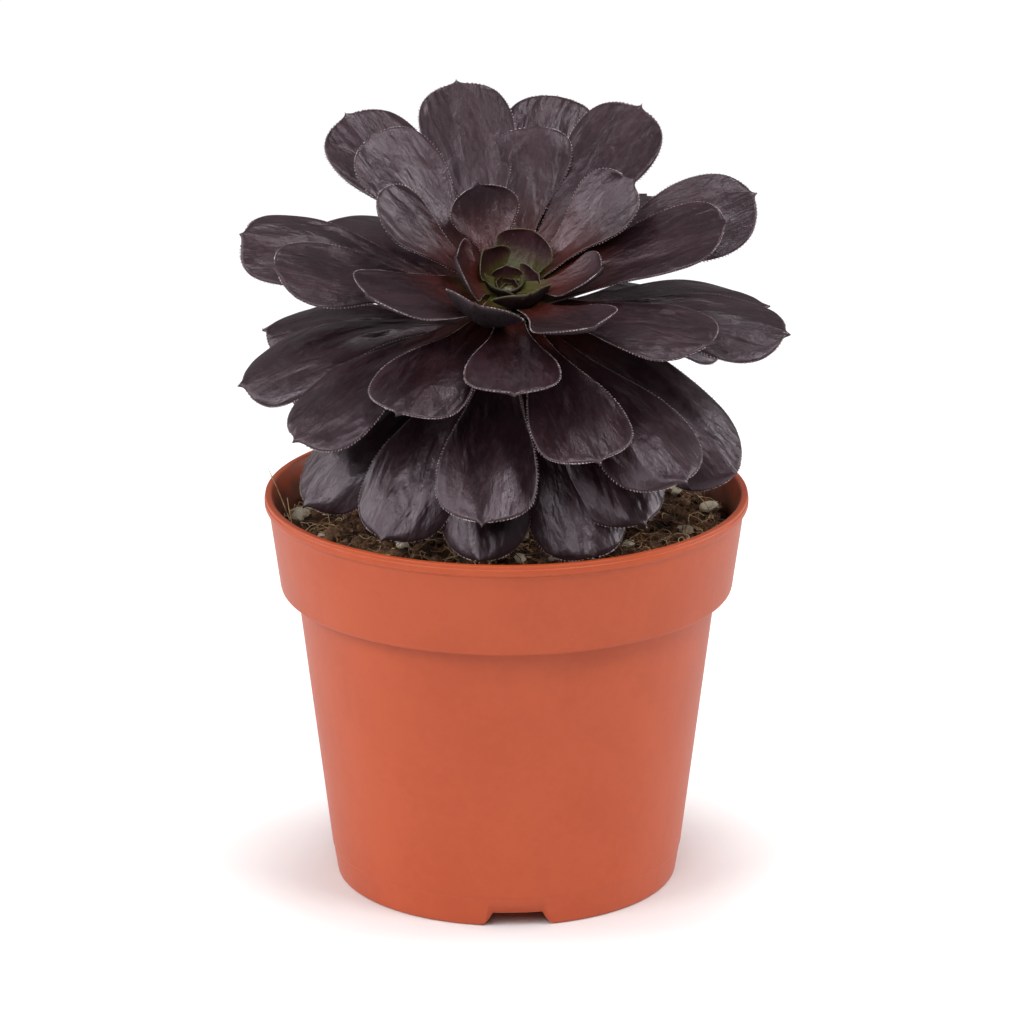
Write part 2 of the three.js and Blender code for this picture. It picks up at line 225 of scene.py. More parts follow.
def scatter(templates: list[bpy.types.Mesh], places: Iterable[Matrix]) -> bmesh.types.BMesh:
    """Copies small meshes to many places.

    Args:
        templates: The meshes, taken in turn.
        places: One matrix for each copy.

    Returns:
        One bmesh with every copy.
    """
    bm = bmesh.new()
    for index, matrix in enumerate(places):
        copy = templates[index % len(templates)].copy()
        copy.transform(matrix)
        bm.from_mesh(copy)
        bpy.data.meshes.remove(copy)
    for template in templates:
        bpy.data.meshes.remove(template)
    return bm


# ---------------------------------------------------------------------------
# Shader building


class Tree:
    """Adds and joins the nodes of one node tree.

    Args:
        tree: The tree of a material or of a node group.
    """

    def __init__(self, tree: bpy.types.NodeTree) -> None:
        """Keeps the tree."""
        self.tree = tree

    def set(self, socket: bpy.types.NodeSocket, value: object) -> None:
        """Links a socket to an output, or sets its own value.

        Args:
            socket: The input.
            value: An output socket, a number or a colour.
        """
        if isinstance(value, bpy.types.NodeSocket):
            self.tree.links.new(value, socket)
        elif isinstance(value, tuple) and socket.type == "RGBA":
            socket.default_value = (*value, 1.0)
        else:
            socket.default_value = value

    def add(self, kind: str, inputs: dict | None = None, **settings: object) -> bpy.types.Node:
        """Adds a node.

        Args:
            kind: Its type without the word ShaderNode.
            inputs: Values or outputs by socket name or index.
            **settings: The node's own properties.

        Returns:
            The node.
        """
        node = self.tree.nodes.new("ShaderNode" + kind)
        for name, value in settings.items():
            setattr(node, name, value)
        for name, value in (inputs or {}).items():
            self.set(node.inputs[name], value)
        return node

    def math(self, operation: str, *values: object, clamp: bool = False) -> bpy.types.NodeSocket:
        """Returns the output of a Math node."""
        inputs = dict(enumerate(values))
        return self.add("Math", inputs, operation=operation, use_clamp=clamp).outputs[0]

    def mix(self, factor: object, first: object, second: object) -> bpy.types.NodeSocket:
        """Mixes two colours.

        Args:
            factor: The second colour's share.
            first: The first colour.
            second: The second colour.

        Returns:
            The mixed colour.
        """
        node = self.add("Mix", data_type="RGBA")
        for index, value in ((0, factor), (6, first), (7, second)):
            self.set(node.inputs[index], value)
        return node.outputs[2]

    def between(self, value: object, low: float, high: float) -> bpy.types.NodeSocket:
        """Returns the smooth share of a value's way from low to high, from 0 to 1."""
        span = {"Value": value, "From Min": low, "From Max": high}
        return self.add("MapRange", span, interpolation_type="SMOOTHSTEP").outputs["Result"]

    def noise(
        self, vector: object, scale: object, detail: float, **inputs: float
    ) -> bpy.types.NodeSocket:
        """Returns a noise texture's value."""
        given = {"Vector": vector, "Scale": scale, "Detail": detail, **inputs}
        return self.add("TexNoise", given).outputs[0]

    def attribute(self, name: str) -> bpy.types.NodeSocket:
        """Returns a mesh attribute's value."""
        return self.add("Attribute", attribute_name=name).outputs["Fac"]


def make_group(
    name: str,
    inputs: dict[str, tuple[str, object]],
    outputs: dict[str, str],
    fill: Callable[[Tree, Sockets], Sockets],
) -> bpy.types.NodeTree:
    """Makes a shader node group once, and finds it again later.

    Args:
        name: The group's name.
        inputs: Socket type and default value by input name.
        outputs: Socket type by output name.
        fill: Takes the tree and its inputs by name, and returns the outputs by name.

    Returns:
        The group.
    """
    if name in bpy.data.node_groups:
        return bpy.data.node_groups[name]
    group = bpy.data.node_groups.new(name, "ShaderNodeTree")
    for label, (kind, value) in inputs.items():
        socket = group.interface.new_socket(label, in_out="INPUT", socket_type="NodeSocket" + kind)
        if value is not None:
            socket.default_value = (*value, 1.0) if kind == "Color" else value
    for label, kind in outputs.items():
        group.interface.new_socket(label, in_out="OUTPUT", socket_type="NodeSocket" + kind)
    tree = Tree(group)
    entry = group.nodes.new("NodeGroupInput")
    leave = group.nodes.new("NodeGroupOutput")
    made = fill(tree, {label: entry.outputs[label] for label in inputs})
    for label, socket in made.items():
        group.links.new(socket, leave.inputs[label])
    return group


def fill_mottle(tree: Tree, given: Sockets) -> Sockets:
    """Varies a tone at a coarse and a fine scale.

    Args:
        tree: The group's tree.
        given: Its inputs.

    Returns:
        The tone, and its share of the way from dark to light.
    """
    coarse = tree.noise(given["Vector"], given["Scale"], 4.0)
    finer = tree.math("MULTIPLY", given["Scale"], 7.3)
    fine = tree.noise(given["Vector"], finer, 3.0, Roughness=0.7)
    blend = tree.math("MULTIPLY_ADD", fine, 0.4, tree.math("MULTIPLY", coarse, 0.6))
    share = tree.between(blend, 0.38, 0.62)
    return {"Colour": tree.mix(share, given["Dark"], given["Light"]), "Share": share}


def fill_grain(tree: Tree, given: Sockets) -> Sockets:
    """Makes fine grain and rare specks.

    Args:
        tree: The group's tree.
        given: Its inputs.

    Returns:
        The grain's height for bump, and a mask of the specks.
    """
    grain = tree.noise(given["Vector"], given["Scale"], 5.0, Roughness=0.65)
    size = tree.math("MULTIPLY", given["Scale"], 0.35)
    cells = tree.add("TexVoronoi", {"Vector": given["Vector"], "Scale": size})
    speck = tree.between(cells.outputs["Distance"], 0.16, 0.07)
    rare = tree.math("GREATER_THAN", cells.outputs["Color"], 0.62)
    return {"Height": grain, "Specks": tree.math("MULTIPLY", speck, rare)}


def mottle_group() -> bpy.types.NodeTree:
    """Finds or makes the shared group that mottles a surface between two tones.

    Returns:
        The group.
    """
    inputs = {
        "Vector": ("Vector", None),
        "Scale": ("Float", 100.0),
        "Dark": ("Color", BLACK),
        "Light": ("Color", WHITE),
    }
    return make_group("mottle", inputs, {"Colour": "Color", "Share": "Float"}, fill_mottle)


def grain_group() -> bpy.types.NodeTree:
    """Returns the shared group of fine grain and specks."""
    inputs = {"Vector": ("Vector", None), "Scale": ("Float", 1000.0)}
    return make_group("grain", inputs, {"Height": "Float", "Specks": "Float"}, fill_grain)


class Dress:
    """Starts a material: its tree, its shader and the coordinates that its patterns read."""

    def __init__(self, name: str, **constants: object) -> None:
        """Makes the material with one Principled shader.

        Args:
            name: The material's name.
            **constants: Values set on the shader's own sockets, with _ for spaces.
        """
        self.material = bpy.data.materials.new(name)
        self.material.use_nodes = True
        self.tree = Tree(self.material.node_tree)
        self.shader = self.material.node_tree.nodes["Principled BSDF"]
        for label, value in constants.items():
            self.tree.set(self.shader.inputs[label.replace("_", " ")], value)
        self.object_place = self.tree.add("TexCoord").outputs["Object"]

    def group(self, group: bpy.types.NodeTree, inputs: dict[str, object]) -> bpy.types.Node:
        """Places a shared group with its own values.

        Args:
            group: The group.
            inputs: Values or outputs by socket name.

        Returns:
            The group's node.
        """
        node = self.tree.tree.nodes.new("ShaderNodeGroup")
        node.node_tree = group
        for label, value in inputs.items():
            self.tree.set(node.inputs[label], value)
        return node

    def mottle(self, vector: object, scale: float, dark: Colour, light: Colour) -> bpy.types.Node:
        """Returns a node that mottles the surface between two tones."""
        inputs = {"Vector": vector, "Scale": scale, "Dark": dark, "Light": light}
        return self.group(mottle_group(), inputs)

    def grain(self, scale: float) -> bpy.types.Node:
        """Returns a node of fine grain and specks on the object's coordinates."""
        return self.group(grain_group(), {"Vector": self.object_place, "Scale": scale})

    def bump(self, height: object, distance: float, strength: float) -> None:
        """Feeds a height to the shader's normal, over any bump that it has.

        Args:
            height: The height, from 0 to 1.
            distance: What a height of 1 stands for, in metres.
            strength: Share of the effect.
        """
        normal = self.shader.inputs["Normal"]
        under = normal.links[0].from_socket if normal.is_linked else None
        inputs = {"Height": height, "Distance": distance, "Strength": strength}
        node = self.tree.add("Bump", inputs)
        if under:
            self.tree.set(node.inputs["Normal"], under)
        self.tree.set(normal, node.outputs["Normal"])

    def feed(self, label: str, value: object) -> None:
        """Feeds an input of the shader."""
        self.tree.set(self.shader.inputs[label], value)


# ---------------------------------------------------------------------------
# Finishes


@dataclass(frozen=True)
class PotFinish:
    """Satin moulded plastic of terracotta colour, with grain, scuffs, and painted shade and peat
    stain inside.

    The axis is the pot's, and inner is the wall's inner radius at the two heights of span.
    """

    axis: tuple[float, float]
    span: tuple[float, float]
    inner: tuple[float, float]
    dark: Colour = (0.495, 0.076, 0.0185)
    light: Colour = (0.53, 0.086, 0.0225)
    scuff: Colour = (0.60, 0.14, 0.055)
    # near-black brown of painted shade on the inner wall, with some peat stain
    shade_and_stain: Colour = (0.085, 0.026, 0.012)
    roughness: tuple[float, float] = (0.36, 0.5)
    gloss: float = 0.45
    tone_scale: float = 45.0
    grain_scale: float = 2600.0
    flow_scale: float = 160.0
    flow_stretch: Place = (1.0, 1.0, 0.12)
    rub_scale: float = 210.0
    grain_bump: tuple[float, float] = (0.00006, 0.6)
    flow_bump: tuple[float, float] = (0.00025, 0.25)

    def material(self) -> bpy.types.Material:
        """Makes the plastic.

        Returns:
            Its material.
        """
        dress = Dress("terracotta_plastic", Specular_IOR_Level=self.gloss)
        tree = dress.tree
        tone = dress.mottle(dress.object_place, self.tone_scale, self.dark, self.light)
        grain = dress.grain(self.grain_scale)
        stretch = {"Vector": dress.object_place, "Scale": self.flow_stretch}
        flow = tree.noise(tree.add("Mapping", stretch).outputs[0], self.flow_scale, 4.0)
        rub = tree.noise(dress.object_place, self.rub_scale, 6.0, Roughness=0.72)
        rub = tree.between(rub, 0.66, 0.78)
        colour = tree.mix(tree.math("MULTIPLY", rub, 0.35), tone.outputs["Colour"], self.scuff)
        colour = tree.mix(tree.math("MULTIPLY", grain.outputs["Specks"], 0.3), colour, self.scuff)
        # darkens the inner wall above the soil: painted shade with some peat stain
        dress.feed("Base Color", tree.mix(self.shaded_and_stained(dress), colour, self.shade_and_stain))
        share = tree.math("MULTIPLY_ADD", flow, 0.5, tree.math("MULTIPLY", rub, 0.5))
        low, high = self.roughness
        dress.feed("Roughness", tree.math("MULTIPLY_ADD", share, high - low, low))
        dress.bump(grain.outputs["Height"], *self.grain_bump)
        dress.bump(flow, *self.flow_bump)
        return dress.material

    def shaded_and_stained(self, dress: Dress) -> bpy.types.NodeSocket:
        """Finds where painted shade and damp peat stain darken the inner wall above the soil,
        ragged on top.

        Args:
            dress: The material's dress.

        Returns:
            The share of painted shade and stain.
        """
        tree = dress.tree
        centre = (-self.axis[0], -self.axis[1], 0.0)
        place = tree.add("Mapping", {"Vector": dress.object_place, "Location": centre})
        split = tree.add("SeparateXYZ", {"Vector": place.outputs[0]}).outputs
        squares = tree.math("MULTIPLY_ADD", split[0], split[0], tree.math("POWER", split[1], 2.0))
        reach = tree.math("SQRT", squares)
        low, high = self.span
        up = tree.math("DIVIDE", tree.math("SUBTRACT", split[2], low), high - low)
        wall = tree.math("MULTIPLY_ADD", up, self.inner[1] - self.inner[0], self.inner[0])
        inside = tree.between(tree.math("SUBTRACT", reach, wall), 0.0006, 0.0002)
        inside = tree.math("MULTIPLY", inside, tree.between(up, 0.25, 0.35))
        ragged = tree.math("MULTIPLY_ADD", tree.noise(dress.object_place, 120.0, 4.0), 0.5, up)
        below = tree.between(ragged, 1.2, 0.95)
        return tree.math("MULTIPLY", tree.math("MULTIPLY", inside, below), 0.85)


@dataclass(frozen=True)
class EarthFinish:
    """Damp peat, bark or stone: a mottled matt colour with a rough relief.

    The relief is the height in metres that the bump stands for.
    """

    name: str
    dark: Colour
    light: Colour
    scale: float
    relief: float
    roughness: float = 0.85
    fleck: Colour = (0.12, 0.07, 0.035)
    flecks: float = 0.5
    gloss: float = 0.3

    def material(self) -> bpy.types.Material:
        """Makes the matt surface.

        Returns:
            Its material.
        """
        dress = Dress(self.name, Specular_IOR_Level=self.gloss)
        tree = dress.tree
        tone = dress.mottle(dress.object_place, self.scale, self.dark, self.light)
        grain = dress.grain(self.scale * 6)
        speck = tree.math("MULTIPLY", grain.outputs["Specks"], self.flecks)
        dress.feed("Base Color", tree.mix(speck, tone.outputs["Colour"], self.fleck))
        share = tree.math("MULTIPLY", tone.outputs["Share"], 0.12)
        dress.feed("Roughness", tree.math("ADD", share, self.roughness - 0.06))
        dress.bump(grain.outputs["Height"], self.relief, 0.9)
        return dress.material


@dataclass(frozen=True)
class Furrow:
    """Noise drawn out along a leaf: its scales, its detail, and its bump's depth and strength."""

    across: float
    along: float
    detail: float
    depth: float
    strength: float

    def height(self, tree: Tree, lie: bpy.types.NodeSocket) -> bpy.types.NodeSocket:
        """Returns the noise, from 0 to 1, on coordinates across and along the leaf."""
        place = tree.add("Mapping", {"Vector": lie, "Scale": (self.across, self.along, 1.0)})
        return tree.noise(place.outputs[0], 1.0, self.detail, Roughness=0.6, Distortion=0.4)


@dataclass(frozen=True)
class LeafFinish:
    """Waxy leaf skin: dark blade, warm root, wrinkles along the leaf and a pale edge.

    The reaches are the shares of a leaf's length where the flush's and the root's colours have
    faded out, and the rough values say what each effect adds to the roughness.
    """

    name: str
    blade_dark: Colour
    blade_light: Colour
    bloom: Colour
    flush: Colour
    root: Colour
    # colour of the backs, kept darker than the blade as painted shade
    under: Colour
    edge: Colour
    flush_reach: float
    root_reach: float
    edge_share: float = 0.12
    gloss: float = 0.68
    gloss_tint: Colour = (1.0, 0.86, 0.96)
    roughness: float = 0.27
    tone_rough: float = 0.08
    under_rough: float = 0.42
    streak_rough: float = 0.12
    tone_scale: float = 2.6
    grain_scale: float = 1500.0
    grain_bump: tuple[float, float] = (0.00008, 0.6)
    streaks: Furrow = Furrow(28.0, 34.0, 3.0, 0.0003, 0.45)
    wrinkles: Furrow = Furrow(5.5, 5.0, 1.5, 0.0026, 0.45)
    creases: Furrow = Furrow(10.0, 9.0, 1.0, 0.0009, 0.25)

    def material(self) -> bpy.types.Material:
        """Makes the leaf skin.

        Returns:
            Its material.
        """
        dress = Dress(self.name, Specular_IOR_Level=self.gloss, Specular_Tint=self.gloss_tint)
        tree = dress.tree
        split = tree.add("SeparateXYZ", {"Vector": tree.add("UVMap", uv_map="leaf").outputs[0]})
        youth, tint = tree.attribute("youth"), tree.attribute("tint")
        under, share, rim = (tree.attribute(name) for name in LEAF_VALUES[2:])
        lie = tree.add(
            "CombineXYZ",
            {0: split.outputs[0], 1: split.outputs[1], 2: tree.math("MULTIPLY", tint, 40.0)},
        ).outputs[0]
        tone = dress.mottle(lie, self.tone_scale, self.blade_dark, self.blade_light)
        streaks = self.streaks.height(tree, lie)
        wrinkles = self.wrinkles.height(tree, lie)
        creases = self.creases.height(tree, lie)
        bloom = tree.math("MULTIPLY", tree.between(streaks, 0.5, 0.8), 0.3)
        colour = tree.mix(bloom, tone.outputs["Colour"], self.bloom)
        reach = tree.math("MULTIPLY", share, tree.math("MULTIPLY_ADD", youth, -0.62, 1.0))
        reach = tree.math("MULTIPLY_ADD", tree.math("SUBTRACT", streaks, 0.5), 0.1, reach)
        flushed = tree.between(reach, self.flush_reach, self.flush_reach * 0.3)
        colour = tree.mix(flushed, colour, self.flush)
        rooted = tree.between(reach, self.root_reach, self.root_reach * 0.2)
        colour = tree.mix(rooted, colour, self.root)
        # the backs take the under colour: their own tone, made darker as painted shade where they
        # face away from the lights
        back = tree.mix(tree.between(reach, self.root_reach, 0.0), self.under, self.root)
        colour = tree.mix(under, colour, back)
        grain = dress.grain(self.grain_scale)
        colour = tree.mix(tree.math("MULTIPLY", grain.outputs["Specks"], 0.16), colour, self.edge)
        pale = tree.math("MULTIPLY", tree.between(rim, 0.4, 1.0), self.edge_share)
        dress.feed("Base Color", tree.mix(pale, colour, self.edge))
        light = tree.between(tone.outputs["Share"], 0.2, 0.9)
        waxy = tree.math("MULTIPLY_ADD", light, self.tone_rough, self.roughness)
        waxy = tree.math("MULTIPLY_ADD", under, self.under_rough, waxy)
        dress.feed("Roughness", tree.math("MULTIPLY_ADD", streaks, self.streak_rough, waxy))
        dress.bump(grain.outputs["Height"], *self.grain_bump)
        dress.bump(streaks, self.streaks.depth, self.streaks.strength)
        ridges = tree.math("ABSOLUTE", tree.math("SUBTRACT", creases, 0.5))
        dress.bump(ridges, self.creases.depth, self.creases.strength)
        dress.bump(wrinkles, self.wrinkles.depth, self.wrinkles.strength)
        return dress.material


PEAT = EarthFinish("damp_peat", (0.015, 0.008, 0.005), (0.12, 0.064, 0.034), 260.0, 0.0012)
CRUMB = EarthFinish("peat_crumbs", (0.032, 0.016, 0.009), (0.30, 0.165, 0.086), 420.0, 0.0006)
CHIP = EarthFinish("bark_chips", (0.20, 0.11, 0.06), (0.48, 0.32, 0.18), 500.0, 0.0004)
PUMICE = EarthFinish(
    "pumice", (0.86, 0.68, 0.44), (0.99, 0.93, 0.76), 420.0, 0.0009, fleck=(0.30, 0.20, 0.11)
)
COIR_PALE = EarthFinish("pale_coir", (0.40, 0.22, 0.10), (0.90, 0.66, 0.40), 160.0, 0.0001, 0.6)
COIR_DARK = EarthFinish(
    "dark_coir", (0.10, 0.045, 0.022), (0.34, 0.17, 0.085), 160.0, 0.0001, 0.65
)
BARK = EarthFinish("stem_bark", (0.06, 0.037, 0.024), (0.22, 0.15, 0.095), 170.0, 0.0009, 0.8)
FRINGE = EarthFinish(
    "leaf_fringe", (0.26, 0.19, 0.20), (0.56, 0.47, 0.48), 300.0, 0.00005, 0.45, (0.6, 0.5, 0.5)
)
YOUNG_FRINGE = EarthFinish(
    "heart_fringe", (0.16, 0.17, 0.08), (0.36, 0.36, 0.22), 300.0, 0.00005, 0.45, (0.5, 0.5, 0.3)
)
DARK_SKIN = LeafFinish(
    name="dark_leaf_skin",
    blade_dark=(0.0125, 0.0042, 0.0056),
    blade_light=(0.0260, 0.0086, 0.0118),
    bloom=(0.036, 0.021, 0.026),
    flush=(0.064, 0.0115, 0.0075),
    root=(0.060, 0.058, 0.008),
    under=(0.009, 0.0026, 0.0030),
    edge=(0.17, 0.105, 0.11),
    flush_reach=0.46,
    root_reach=0.18,
)
HEART_SKIN = LeafFinish(
    name="heart_leaf_skin",
    blade_dark=(0.020, 0.0055, 0.008),
    blade_light=(0.038, 0.011, 0.015),
    bloom=(0.055, 0.028, 0.033),
    flush=(0.050, 0.024, 0.007),
    root=(0.048, 0.060, 0.007),
    under=(0.010, 0.0025, 0.0020),
    edge=(0.20, 0.20, 0.10),
    flush_reach=0.34,
    root_reach=0.26,
    edge_share=0.3,
    gloss=0.3,
)


# ---------------------------------------------------------------------------
# Pot


@dataclass
class Pot:
    """The round nursery pot, one moulded piece."""

    height: float = 99.2
    lip_radius: float = 60.0
    lip_height: float = 3.0
    lip_width: float = 1.8
    wall: float = 1.1
    collar_top_radius: float = 59.0
    collar_low_radius: float = 56.1
    collar_low_z: float = 75.0
    body_top_radius: float = 52.2
    mould_line_radius: float = 43.7
    mould_line_z: float = 7.5
    foot_radius: float = 42.5
    foot_ring_width: float = 1.9
    floor_underside_z: float = 4.4
    notch_outline: tuple[tuple[float, float], ...] = (
        (9.6, -1.0), (9.4, 0.0), (8.7, 0.25), (8.0, 0.75),
        (7.5, 1.3), (6.8, 2.4), (6.4, 3.3), (6.0, 3.85),
    )
    notch_count: int = 3
    front_notch: float = -86.3
    notch_inset: float = 6.0
    notch_length: float = 12.0
    drain_hole_radius: float = 3.5
    drain_circle_radius: float = 24.0
    drain_hole_count: int = 6
    drain_hole_depth: float = 5.0
    drain_hole_sides: int = 32
    steps: int = 192
    corner_points: int = 5
    corner_share: float = 0.48
    sharp_angle: float = 40.0
    axis: Vector = field(default_factory=Vector)

    def inside(self, z: float) -> float:
        """Finds the inner radius of the wall.

        Args:
            z: The height.

        Returns:
            The radius there.
        """
        if z >= self.collar_low_z:
            share = (z - self.collar_low_z) / (self.height - self.collar_low_z)
            return lerp(self.collar_low_radius, self.collar_top_radius, share) - self.wall
        share = (z - self.mould_line_z) / (self.collar_low_z - self.mould_line_z)
        return lerp(self.mould_line_radius, self.body_top_radius, share) - self.wall

    def profile(self) -> list[Place]:
        """Lists the section's corners, from under the floor round to its top.

        Returns:
            The radius, the height and the rounding of each.
        """
        floor = self.floor_underside_z + self.wall
        ring_inside = self.foot_radius - self.foot_ring_width
        lip_low = self.height - self.lip_height
        lip_inside = self.lip_radius - self.lip_width
        ledge = self.collar_low_z + 0.1
        return [
            (0.0, self.floor_underside_z, 0.0),
            (ring_inside - 0.4, self.floor_underside_z, 0.4),
            (ring_inside, 0.0, 0.15),
            (self.foot_radius, 0.0, 0.9),
            (self.mould_line_radius, self.mould_line_z, 0.1),
            (self.mould_line_radius + 0.2, self.mould_line_z + 0.4, 0.2),
            (self.body_top_radius, self.collar_low_z + 0.4, 0.7),
            (self.collar_low_radius, self.collar_low_z, 1.1),
            (self.collar_top_radius, lip_low - 0.2, 0.5),
            (self.lip_radius, lip_low + 0.4, 0.45),
            (self.lip_radius, self.height - 1.15, 0.2),
            (self.lip_radius - 0.22, self.height - 0.95, 0.12),
            (self.lip_radius - 0.12, self.height, 0.6),
            (lip_inside, self.height, 0.55),
            (self.inside(self.height - 2.4), self.height - 2.4, 0.6),
            (self.inside(ledge + 4), ledge + 4, 1.5),
            (self.body_top_radius - self.wall, ledge, 1.5),
            (self.inside(floor + 2), floor + 2, 1.5),
            (self.foot_radius - 3, floor, 1.0),
            (0.0, floor, 0.0),
        ]

    def rounded(self) -> list[Vector]:
        """Rounds the section's corners.

        Returns:
            Its points, as radius and height.
        """
        corners = self.profile()
        points: list[Vector] = []
        for index, (radius, z, rounding) in enumerate(corners):
            here = Vector((radius, z))
            if not rounding:
                points.append(here)
                continue
            before = Vector(corners[index - 1][:2]) - here
            after = Vector(corners[index + 1][:2]) - here
            room = min(before.length, after.length) * self.corner_share
            cut = min(rounding, room)
            start = here + before.normalized() * cut
            end = here + after.normalized() * cut
            for step in range(self.corner_points):
                share = step / (self.corner_points - 1)
                rest = 1 - share
                points.append(start * rest**2 + here * 2 * share * rest + end * share**2)
        return points

    def cut_notches(self, bm: bmesh.types.BMesh) -> None:
        """Adds the blocks that cut the foot's notches.

        Args:
            bm: The mesh that they go into.
        """
        outline = [*self.notch_outline, *((-y, z) for y, z in reversed(self.notch_outline))]
        near = (self.foot_radius - self.notch_inset) * MM
        for index in range(self.notch_count):
            verts = [bm.verts.new((near, y * MM, z * MM)) for y, z in outline]
            face = bm.faces.new(verts)
            made = bmesh.ops.extrude_face_region(bm, geom=[face])["geom"]
            far = [item for item in made if isinstance(item, bmesh.types.BMVert)]
            bmesh.ops.translate(bm, verts=far, vec=(self.notch_length * MM, 0, 0))
            turn = math.radians(self.front_notch + index * 360 / self.notch_count)
            spin = Matrix.Rotation(turn, 3, "Z")
            bmesh.ops.rotate(bm, verts=verts + far, cent=(0, 0, 0), matrix=spin)

    def cut_holes(self, bm: bmesh.types.BMesh) -> None:
        """Adds the rods that cut the drain holes.

        Args:
            bm: The mesh that they go into.
        """
        ring, low = self.drain_circle_radius * MM, self.floor_underside_z * MM
        for index in range(self.drain_hole_count):
            angle = (index + 0.5) * TURN / self.drain_hole_count
            place = (ring * math.cos(angle), ring * math.sin(angle), low)
            bmesh.ops.create_cone(
                bm,
                cap_ends=True,
                segments=self.drain_hole_sides,
                radius1=self.drain_hole_radius * MM,
                radius2=self.drain_hole_radius * MM,
                depth=self.drain_hole_depth * MM,
                matrix=Matrix.Translation(place),
            )

    def build(self) -> None:
        """Makes the pot, and cuts its notches and drain holes."""
        span = (self.collar_low_z, self.height)
        finish = PotFinish(
            axis=(self.axis.x, self.axis.y),
            span=tuple(z * MM for z in span),
            inner=tuple(self.inside(z) * MM for z in span),
        )
        shell = spun(self.rounded(), self.steps)
        settle(shell, self.axis)
        skin = finish.material()
        pot = finish_piece(shell, "nursery_pot", skin, ("pot",), self.sharp_angle)
        tools = bmesh.new()
        self.cut_notches(tools)
        self.cut_holes(tools)
        settle(tools, self.axis)
        cutter = linked("pot_cutters", mesh_from(tools, "pot_cutters"))
        cut = pot.modifiers.new("notches", "BOOLEAN")
        cut.operation = "DIFFERENCE"
        cut.solver = "EXACT"
        cut.object = cutter
        made = evaluated_mesh(pot)
        pot.modifiers.clear()
        pot.data = made
        bpy.data.objects.remove(cutter)


# ---------------------------------------------------------------------------
# Soil


# Pale stones seen in front: place about the pot's axis and radius.
STONES: tuple[Place, ...] = (
    (51.0, 13.7, 2.1),
    (44.0, -4.1, 1.9),
    (38.4, -9.0, 0.9),
    (30.1, -16.1, 1.4),
    (11.4, -28.6, 1.3),
    (3.1, -30.9, 1.6),
    (-25.6, -18.4, 1.2),
    (-29.8, -8.1, 1.0),
    (-45.6, -8.9, 1.2),
    (-51.6, 8.0, 1.0),
)

# Pale strands that stand up from the soil: start, middle and end about the pot's axis.
STRANDS: tuple[tuple[Place, Place, Place], ...] = (
    ((-53.5, 4.0, 88.5), (-56.0, 5.0, 96.0), (-59.5, 7.0, 103.0)),
    ((-52.0, -8.0, 88.5), (-53.5, -7.0, 94.0), (-54.2, -5.0, 99.0)),
    ((2.6, -48.5, 89.5), (5.2, -50.0, 92.5), (7.8, -51.0, 97.0)),
    ((52.0, 6.0, 89.0), (50.0, 8.0, 94.0), (46.5, 9.0, 96.0)),
)


@dataclass(frozen=True)
class Grains:
    """One kind of grain on the soil.

    Sizes are the smallest and the largest radius, flatness is a grain's height as a share of its
    radius, fineness counts its subdivisions, and placed grains have a place and radius of their
    own.
    """

    name: str
    count: int
    sizes: tuple[float, float]
    flatness: float
    finish: EarthFinish
    fineness: int
    placed: tuple[Place, ...] = ()


@dataclass(frozen=True)
class Coir:
    """One kind of fibre on the soil, with its thinnest and thickest radius."""

    name: str
    count: int
    radii: tuple[float, float]
    finish: EarthFinish
    placed: tuple[tuple[Place, Place, Place], ...] = ()


CRUMBS = Grains("peat_crumbs", 1500, (0.35, 2.1), 0.7, CRUMB, 1)
CHIPS = Grains("bark_chips", 90, (0.7, 2.4), 0.28, CHIP, 1)
PALE_GRAINS = Grains("pumice_grains", 46, (0.7, 2.6), 0.72, PUMICE, 2, STONES)
DARK_FIBRES = Coir("dark_fibres", 900, (0.07, 0.16), COIR_DARK)
PALE_FIBRES = Coir("pale_fibres", 600, (0.06, 0.17), COIR_PALE, STRANDS)


